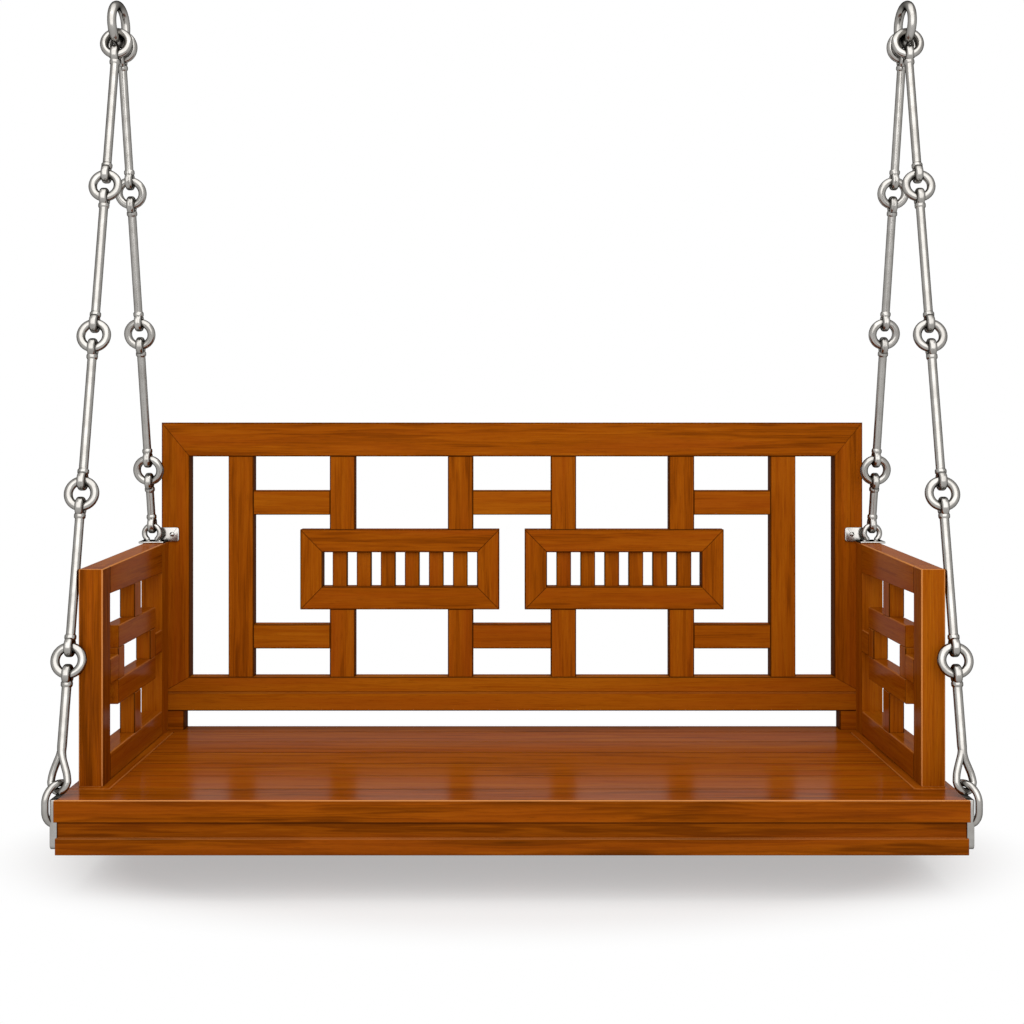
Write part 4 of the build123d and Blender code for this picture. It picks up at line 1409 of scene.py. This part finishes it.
@dataclass
class Fittings(Hardware):
    """The bent hooks on their side plates, and the brackets with their loops."""

    plate_in: float = 5.0 * MM
    plate_thick: float = 12.0 * MM
    plate_front_in: float = 3.0 * MM
    plate_long: float = 53.0 * MM
    plate_foot: float = 8.0 * MM
    plate_corner: float = 9.0 * MM
    corner_steps: int = 6
    hook_wire_radius: float = 6.0 * MM
    # Turns and their steps are in degrees.
    hook_turn: int = 120
    hook_step: int = 6
    tip_turns: tuple[int, ...] = (20, 34, 48, 62, 76)
    foot_radius: float = 26.0 * MM
    foot_drop: float = 14.0 * MM
    foot_turn: int = 72
    foot_step: int = 8
    bracket_thick: float = 4.0 * MM
    bracket_wide: float = 50.0 * MM
    bracket_long: float = 42.0 * MM
    bracket_slope: float = 12.0 / 468.0
    tab_in: float = 23.0 * MM
    tab_out: float = 15.0 * MM
    tab_high: float = 29.0 * MM
    tab_corner: float = 5.0 * MM
    loop_radius: float = 15.5 * MM
    loop_below: int = 50
    loop_step: int = 10
    loop_foot: float = 1.0 * MM
    edge_radius: float = 0.9 * MM

    def round_corner(self, first: float) -> list[tuple[float, float]]:
        """Cosine and sine of each step of a quarter turn that begins at the first angle."""
        angles = [first + i * pi / (2 * self.corner_steps) for i in range(self.corner_steps + 1)]
        return [(cos(a), sin(a)) for a in angles]

    def hook(self, side: Side) -> list[bmesh.types.BMesh]:
        """Side plate with its bent hook.

        Args:
            side: Side of the bench.

        Returns:
            The parts, which overlap.
        """
        corner = self.seat_corner()
        s = side.value
        x = corner.x - self.plate_in
        y0 = corner.y + self.plate_front_in
        y1 = y0 + self.plate_long
        c = self.plate_corner
        outline = [Vector((s * x, y1, corner.z)), Vector((s * x, y0, corner.z))]
        for middle_y, first in ((y0 + c, pi), (y1 - c, 1.5 * pi)):
            outline += [Vector((s * x, middle_y + c * across, self.plate_foot + c + c * up))
                        for across, up in self.round_corner(first)]
        side_plate = plate(outline, Vector((s * self.plate_thick, 0, 0)), self.edge_radius)

        out_x = corner.x + self.hook_out
        out_y = corner.y + self.hook_front_in - self.hook_radius * cos(self.hook_yaw)
        mid_z = corner.z + self.hook_rise - self.hook_radius
        foot_z = mid_z - self.foot_drop
        places = [(self.foot_radius * (1 - cos(a)), foot_z - self.foot_radius * sin(a))
                  for a in map(radians, range(self.foot_turn, -1, -self.foot_step))]
        tip = [radians(a) for a in self.tip_turns]
        turns = [radians(a) for a in range(0, self.hook_turn + 1, self.hook_step)]
        turns += [radians(self.hook_turn) + self.hook_wire_radius * sin(a) / self.hook_radius
                  for a in tip]
        places += [(self.hook_radius * (1 - cos(a)), mid_z + self.hook_radius * sin(a))
                   for a in turns]
        points = [Vector((s * (out_x - u * sin(self.hook_yaw)), out_y + u * cos(self.hook_yaw), z))
                  for u, z in places]
        girths = [self.hook_wire_radius] * (len(points) - len(tip))
        girths += [self.hook_wire_radius * cos(a) for a in tip]
        return [side_plate, self.bent_bar(points, girths)]

    def bracket(self, side: Side) -> list[bmesh.types.BMesh]:
        """Bracket with its foot, tab and loop.

        Args:
            side: Side of the bench.

        Returns:
            The parts, which overlap.
        """
        corner = self.arm_corner()
        s = side.value
        x0, y1, z = corner
        y0 = y1 - self.bracket_long
        low_z = z - self.bracket_slope * self.bracket_long
        t = self.bracket_thick
        foot = plate([Vector((s * x0, y0, low_z)), Vector((s * x0, y1, z)),
                      Vector((s * x0, y1, z + t)), Vector((s * x0, y0, low_z + t))],
                     Vector((s * self.bracket_wide, 0, 0)), self.edge_radius)
        left, right = x0 - self.tab_in, x0 + self.tab_out
        c = self.tab_corner
        outline = [Vector((s * right, y1 - t, z)), Vector((s * right, y1 - t, z + self.tab_high))]
        for middle_z, first in ((z + self.tab_high - c, 0.5 * pi), (z + c, pi)):
            outline += [Vector((s * (left + c + c * across), y1 - t, middle_z + c * up))
                        for across, up in self.round_corner(first)]
        tab = plate(outline, Vector((0, t, 0)), self.edge_radius)
        middle = corner + Vector((self.loop_out, -self.loop_front, self.loop_rise - self.loop_radius))
        r, below = self.loop_radius, self.loop_below
        turns = [radians(a) for a in range(-below, 180 + below + 1, self.loop_step)]
        ring = [middle + Vector((r * cos(a), 0, r * sin(a))) for a in turns]
        feet = [Vector((p.x, p.y, z + self.loop_foot)) for p in (ring[0], ring[-1])]
        points = [Vector((s * p.x, p.y, p.z)) for p in (feet[0], *ring, feet[1])]
        return [foot, tab, self.bent_bar(points, [self.loop_wire_radius] * len(points))]

    def dress(self) -> None:
        """Build the fittings of both sides."""
        for side in Side:
            self.welded(f"{side.word}_front_hook", self.hook(side))
            self.welded(f"{side.word}_rear_bracket", self.bracket(side))


@dataclass
class Screws(Hardware):
    """Slotted round-head screws of the plates and brackets."""

    head_radius: float = 5.0 * MM
    head_height: float = 3.2 * MM
    shank_radius: float = 2.5 * MM
    slot_width: float = 1.4 * MM
    slot_depth: float = 3.2 * MM
    shank_lengths: tuple[float, float] = (34.0 * MM, 28.0 * MM)
    nodes: tuple[str, str] = ("hook_screws", "bracket_screws")

    def heads(self, node: str) -> tuple[list[Vector], list[Vector]]:
        """Find where each screw's head sits and which way it faces.

        Args:
            node: The node that holds the screws.

        Returns:
            Middles of the heads' undersides, and the ways that they face.
        """
        places, ways = [], []
        for solid in solids_of(node):
            low, high = extent(solid)
            middle = (low + high) / 2
            long = max(range(3), key=lambda i: high[i] - low[i])
            across = [i for i in range(3) if i != long]
            rim = max((v.co for v in solid.verts),
                      key=lambda place: sum((place[i] - middle[i]) ** 2 for i in across))
            way = Vector((0, 0, 0))
            way[long] = 1.0 if rim[long] > middle[long] else -1.0
            place = middle.copy()
            place[long] = (high if way[long] > 0 else low)[long] - way[long] * self.head_height
            places.append(place)
            ways.append(way)
            solid.free()
        return places, ways

    def dress(self) -> None:
        """Build the screws of the plates and of the brackets."""
        tree = screws_tree()
        ball = (self.head_radius ** 2 + self.head_height ** 2) / (2 * self.head_height)
        for seed, (node, shank) in enumerate(zip(self.nodes, self.shank_lengths)):
            start = bmesh.new()
            axis = start.verts.layers.float_vector.new("axis")
            for place, way in zip(*self.heads(node)):
                start.verts.new(place)[axis] = way
            values = {"Head Radius": self.head_radius, "Head Height": self.head_height,
                      "Ball Radius": ball, "Shank Radius": self.shank_radius, "Shank Length": shank,
                      "Slot Width": self.slot_width, "Slot Depth": self.slot_depth,
                      "Seed": seed, "Material": self.finish}
            self.finished(grown(f"steel_{node}", tree, values, start, sharp=EDGE_ANGLE), node)


@dataclass(frozen=True)
class SoftBox:
    """Soft lamp: where it hangs, the width and height of its cloth, and its power in watts."""

    name: str
    place: tuple[float, float, float]
    size: tuple[float, float]
    watts: float

    def hang(self, aim: Vector) -> None:
        """Hang the lamp.

        Args:
            aim: The point that it faces.
        """
        light = bpy.data.lights.new(self.name, "AREA")
        light.shape = "RECTANGLE"
        light.size, light.size_y = self.size
        light.energy = self.watts
        holder = bpy.data.objects.new(self.name, light)
        holder.location = self.place
        holder.rotation_euler = (aim - Vector(self.place)).to_track_quat("-Z", "Y").to_euler()
        bpy.context.scene.collection.objects.link(holder)


@dataclass
class Studio:
    """White studio: a pale floor under the swing, soft lamps and the camera."""

    soft_boxes: tuple[SoftBox, ...] = (SoftBox("overhead", (0.0, -0.6, 3.4), (3.2, 2.4), 47.0),
                                       SoftBox("front", (0.0, -3.4, 2.15), (5.6, 4.5), 132.0))
    lamp_aim: tuple[float, float, float] = (0.0, 0.0, 0.4)
    paper: str = "#F5F4F3"
    floor_z: float = -78.0 * MM
    floor_half: float = 20.0
    shade_half: tuple[float, float, float] = (1.0, 0.52, 1.0)
    near_floor: float = 0.7
    far_floor: float = 1.02
    floor_glow: float = 0.42
    camera_place: tuple[float, float, float] = (0.0, -2.666, 0.7037)
    focal_px: float = 1425.0
    horizon_row: float = 432.0
    sensor: float = 36.0
    clip_start: float = 0.05
    world_level: float = 0.28

    def camera(self) -> None:
        """Set the level camera in front of the bench."""
        lens = bpy.data.cameras.new("camera")
        lens.sensor_width = self.sensor
        lens.lens = self.focal_px / IMAGE_SIZE * self.sensor
        lens.shift_y = (self.horizon_row - IMAGE_SIZE / 2) / IMAGE_SIZE
        lens.clip_start = self.clip_start
        holder = bpy.data.objects.new("camera", lens)
        holder.location = self.camera_place
        holder.rotation_euler = (pi / 2, 0, 0)
        bpy.context.scene.collection.objects.link(holder)
        bpy.context.scene.camera = holder

    def seen(self, tree: bpy.types.NodeTree) -> bpy.types.NodeSocket:
        """Tell the rays that see the room from those that carry its light to the swing.

        Args:
            tree: The tree of the world or of a material.

        Returns:
            One for a ray of the camera, a mirror or glass, and zero for any other.
        """
        path = add_node(tree, "ShaderNodeLightPath")
        mirrored = add_node(tree, "ShaderNodeMath", {"operation": "ADD", "use_clamp": True},
                            {0: path.outputs["Is Camera Ray"], 1: path.outputs["Is Glossy Ray"]})
        return add_node(tree, "ShaderNodeMath", {"operation": "ADD", "use_clamp": True},
                        {0: mirrored.outputs[0], 1: path.outputs["Is Transmission Ray"]}).outputs[0]

    def world(self) -> None:
        """Light the room evenly and keep its walls white to the eye and to mirrors."""
        world = bpy.data.worlds.new("studio")
        bpy.context.scene.world = world
        world.use_nodes = True
        tree = world.node_tree
        tree.nodes.clear()
        lamp = add_node(tree, "ShaderNodeBackground", None,
                        {"Color": linear(WHITE), "Strength": self.world_level})
        wall = add_node(tree, "ShaderNodeBackground", None, {"Color": linear(WHITE), "Strength": 1.0})
        mix = add_node(tree, "ShaderNodeMixShader", None,
                       {0: self.seen(tree), 1: lamp.outputs[0], 2: wall.outputs[0]})
        add_node(tree, "ShaderNodeOutputWorld", None, {"Surface": mix.outputs[0]})

    def floor_material(self) -> bpy.types.Material:
        """Matt white paper that takes a shadow near the swing and looks evenly white further out.

        Returns:
            The floor's material.
        """
        material = blank_material("white_paper")
        tree = material.node_tree
        place = add_node(tree, "ShaderNodeTexCoord").outputs["Object"]
        share = add_node(tree, "ShaderNodeVectorMath", {"operation": "DIVIDE"},
                         {0: place, 1: self.shade_half})
        reach = add_node(tree, "ShaderNodeVectorMath", {"operation": "LENGTH"}, {0: share.outputs[0]})
        far = add_node(tree, "ShaderNodeMapRange", {"interpolation_type": "SMOOTHSTEP"},
                       {"Value": reach.outputs["Value"], "From Min": self.near_floor,
                        "From Max": self.far_floor, "To Min": self.floor_glow})
        shown = add_node(tree, "ShaderNodeMath", {"operation": "MULTIPLY"},
                         {0: far.outputs[0], 1: self.seen(tree)})
        paper = add_node(tree, "ShaderNodeBsdfDiffuse", None, {"Color": linear(self.paper)})
        glow = add_node(tree, "ShaderNodeEmission", None, {"Color": linear(WHITE), "Strength": 1.0})
        mix = add_node(tree, "ShaderNodeMixShader", None,
                       {0: shown.outputs[0], 1: paper.outputs[0], 2: glow.outputs[0]})
        add_node(tree, "ShaderNodeOutputMaterial", None, {"Surface": mix.outputs[0]})
        return material

    def floor(self) -> None:
        """Lay the floor below the swing."""
        shape = bmesh.new()
        h = self.floor_half
        square = ((-h, -h), (h, -h), (h, h), (-h, h))
        shape.faces.new([shape.verts.new((x, y, self.floor_z)) for x, y in square])
        floor = mesh_object("floor", shape)
        floor.data.materials.append(self.floor_material())

    def build(self) -> None:
        """Set up the whole studio."""
        self.camera()
        self.world()
        self.floor()
        for soft_box in self.soft_boxes:
            soft_box.hang(Vector(self.lamp_aim))
        bpy.context.scene.view_settings.view_transform = "Standard"


def main() -> None:
    """Build and dress the swing."""
    logging.basicConfig(level=logging.INFO, format="%(name)s %(message)s")
    Studio().build()
    teak = VarnishedTeak()
    seat_teak = VarnishedTeak("varnished_teak_seat", gloss=0.22, gloss_roughness=0.2, worn_gloss=True,
                              streak_share=0.26)
    arm_teak = VarnishedTeak("varnished_teak_arms", gloss=0.14)
    for timber in (Seat(seat_teak), Back(teak), Arms(arm_teak)):
        timber.dress()
    steel = PolishedSteel().material()
    trees = (rings_tree(), repeat_tree(), bar_tree())
    for hardware in (Chains(steel, *trees), Fittings(steel, *trees), Screws(steel, *trees)):
        hardware.dress()


if __name__ == "__main__":
    main()
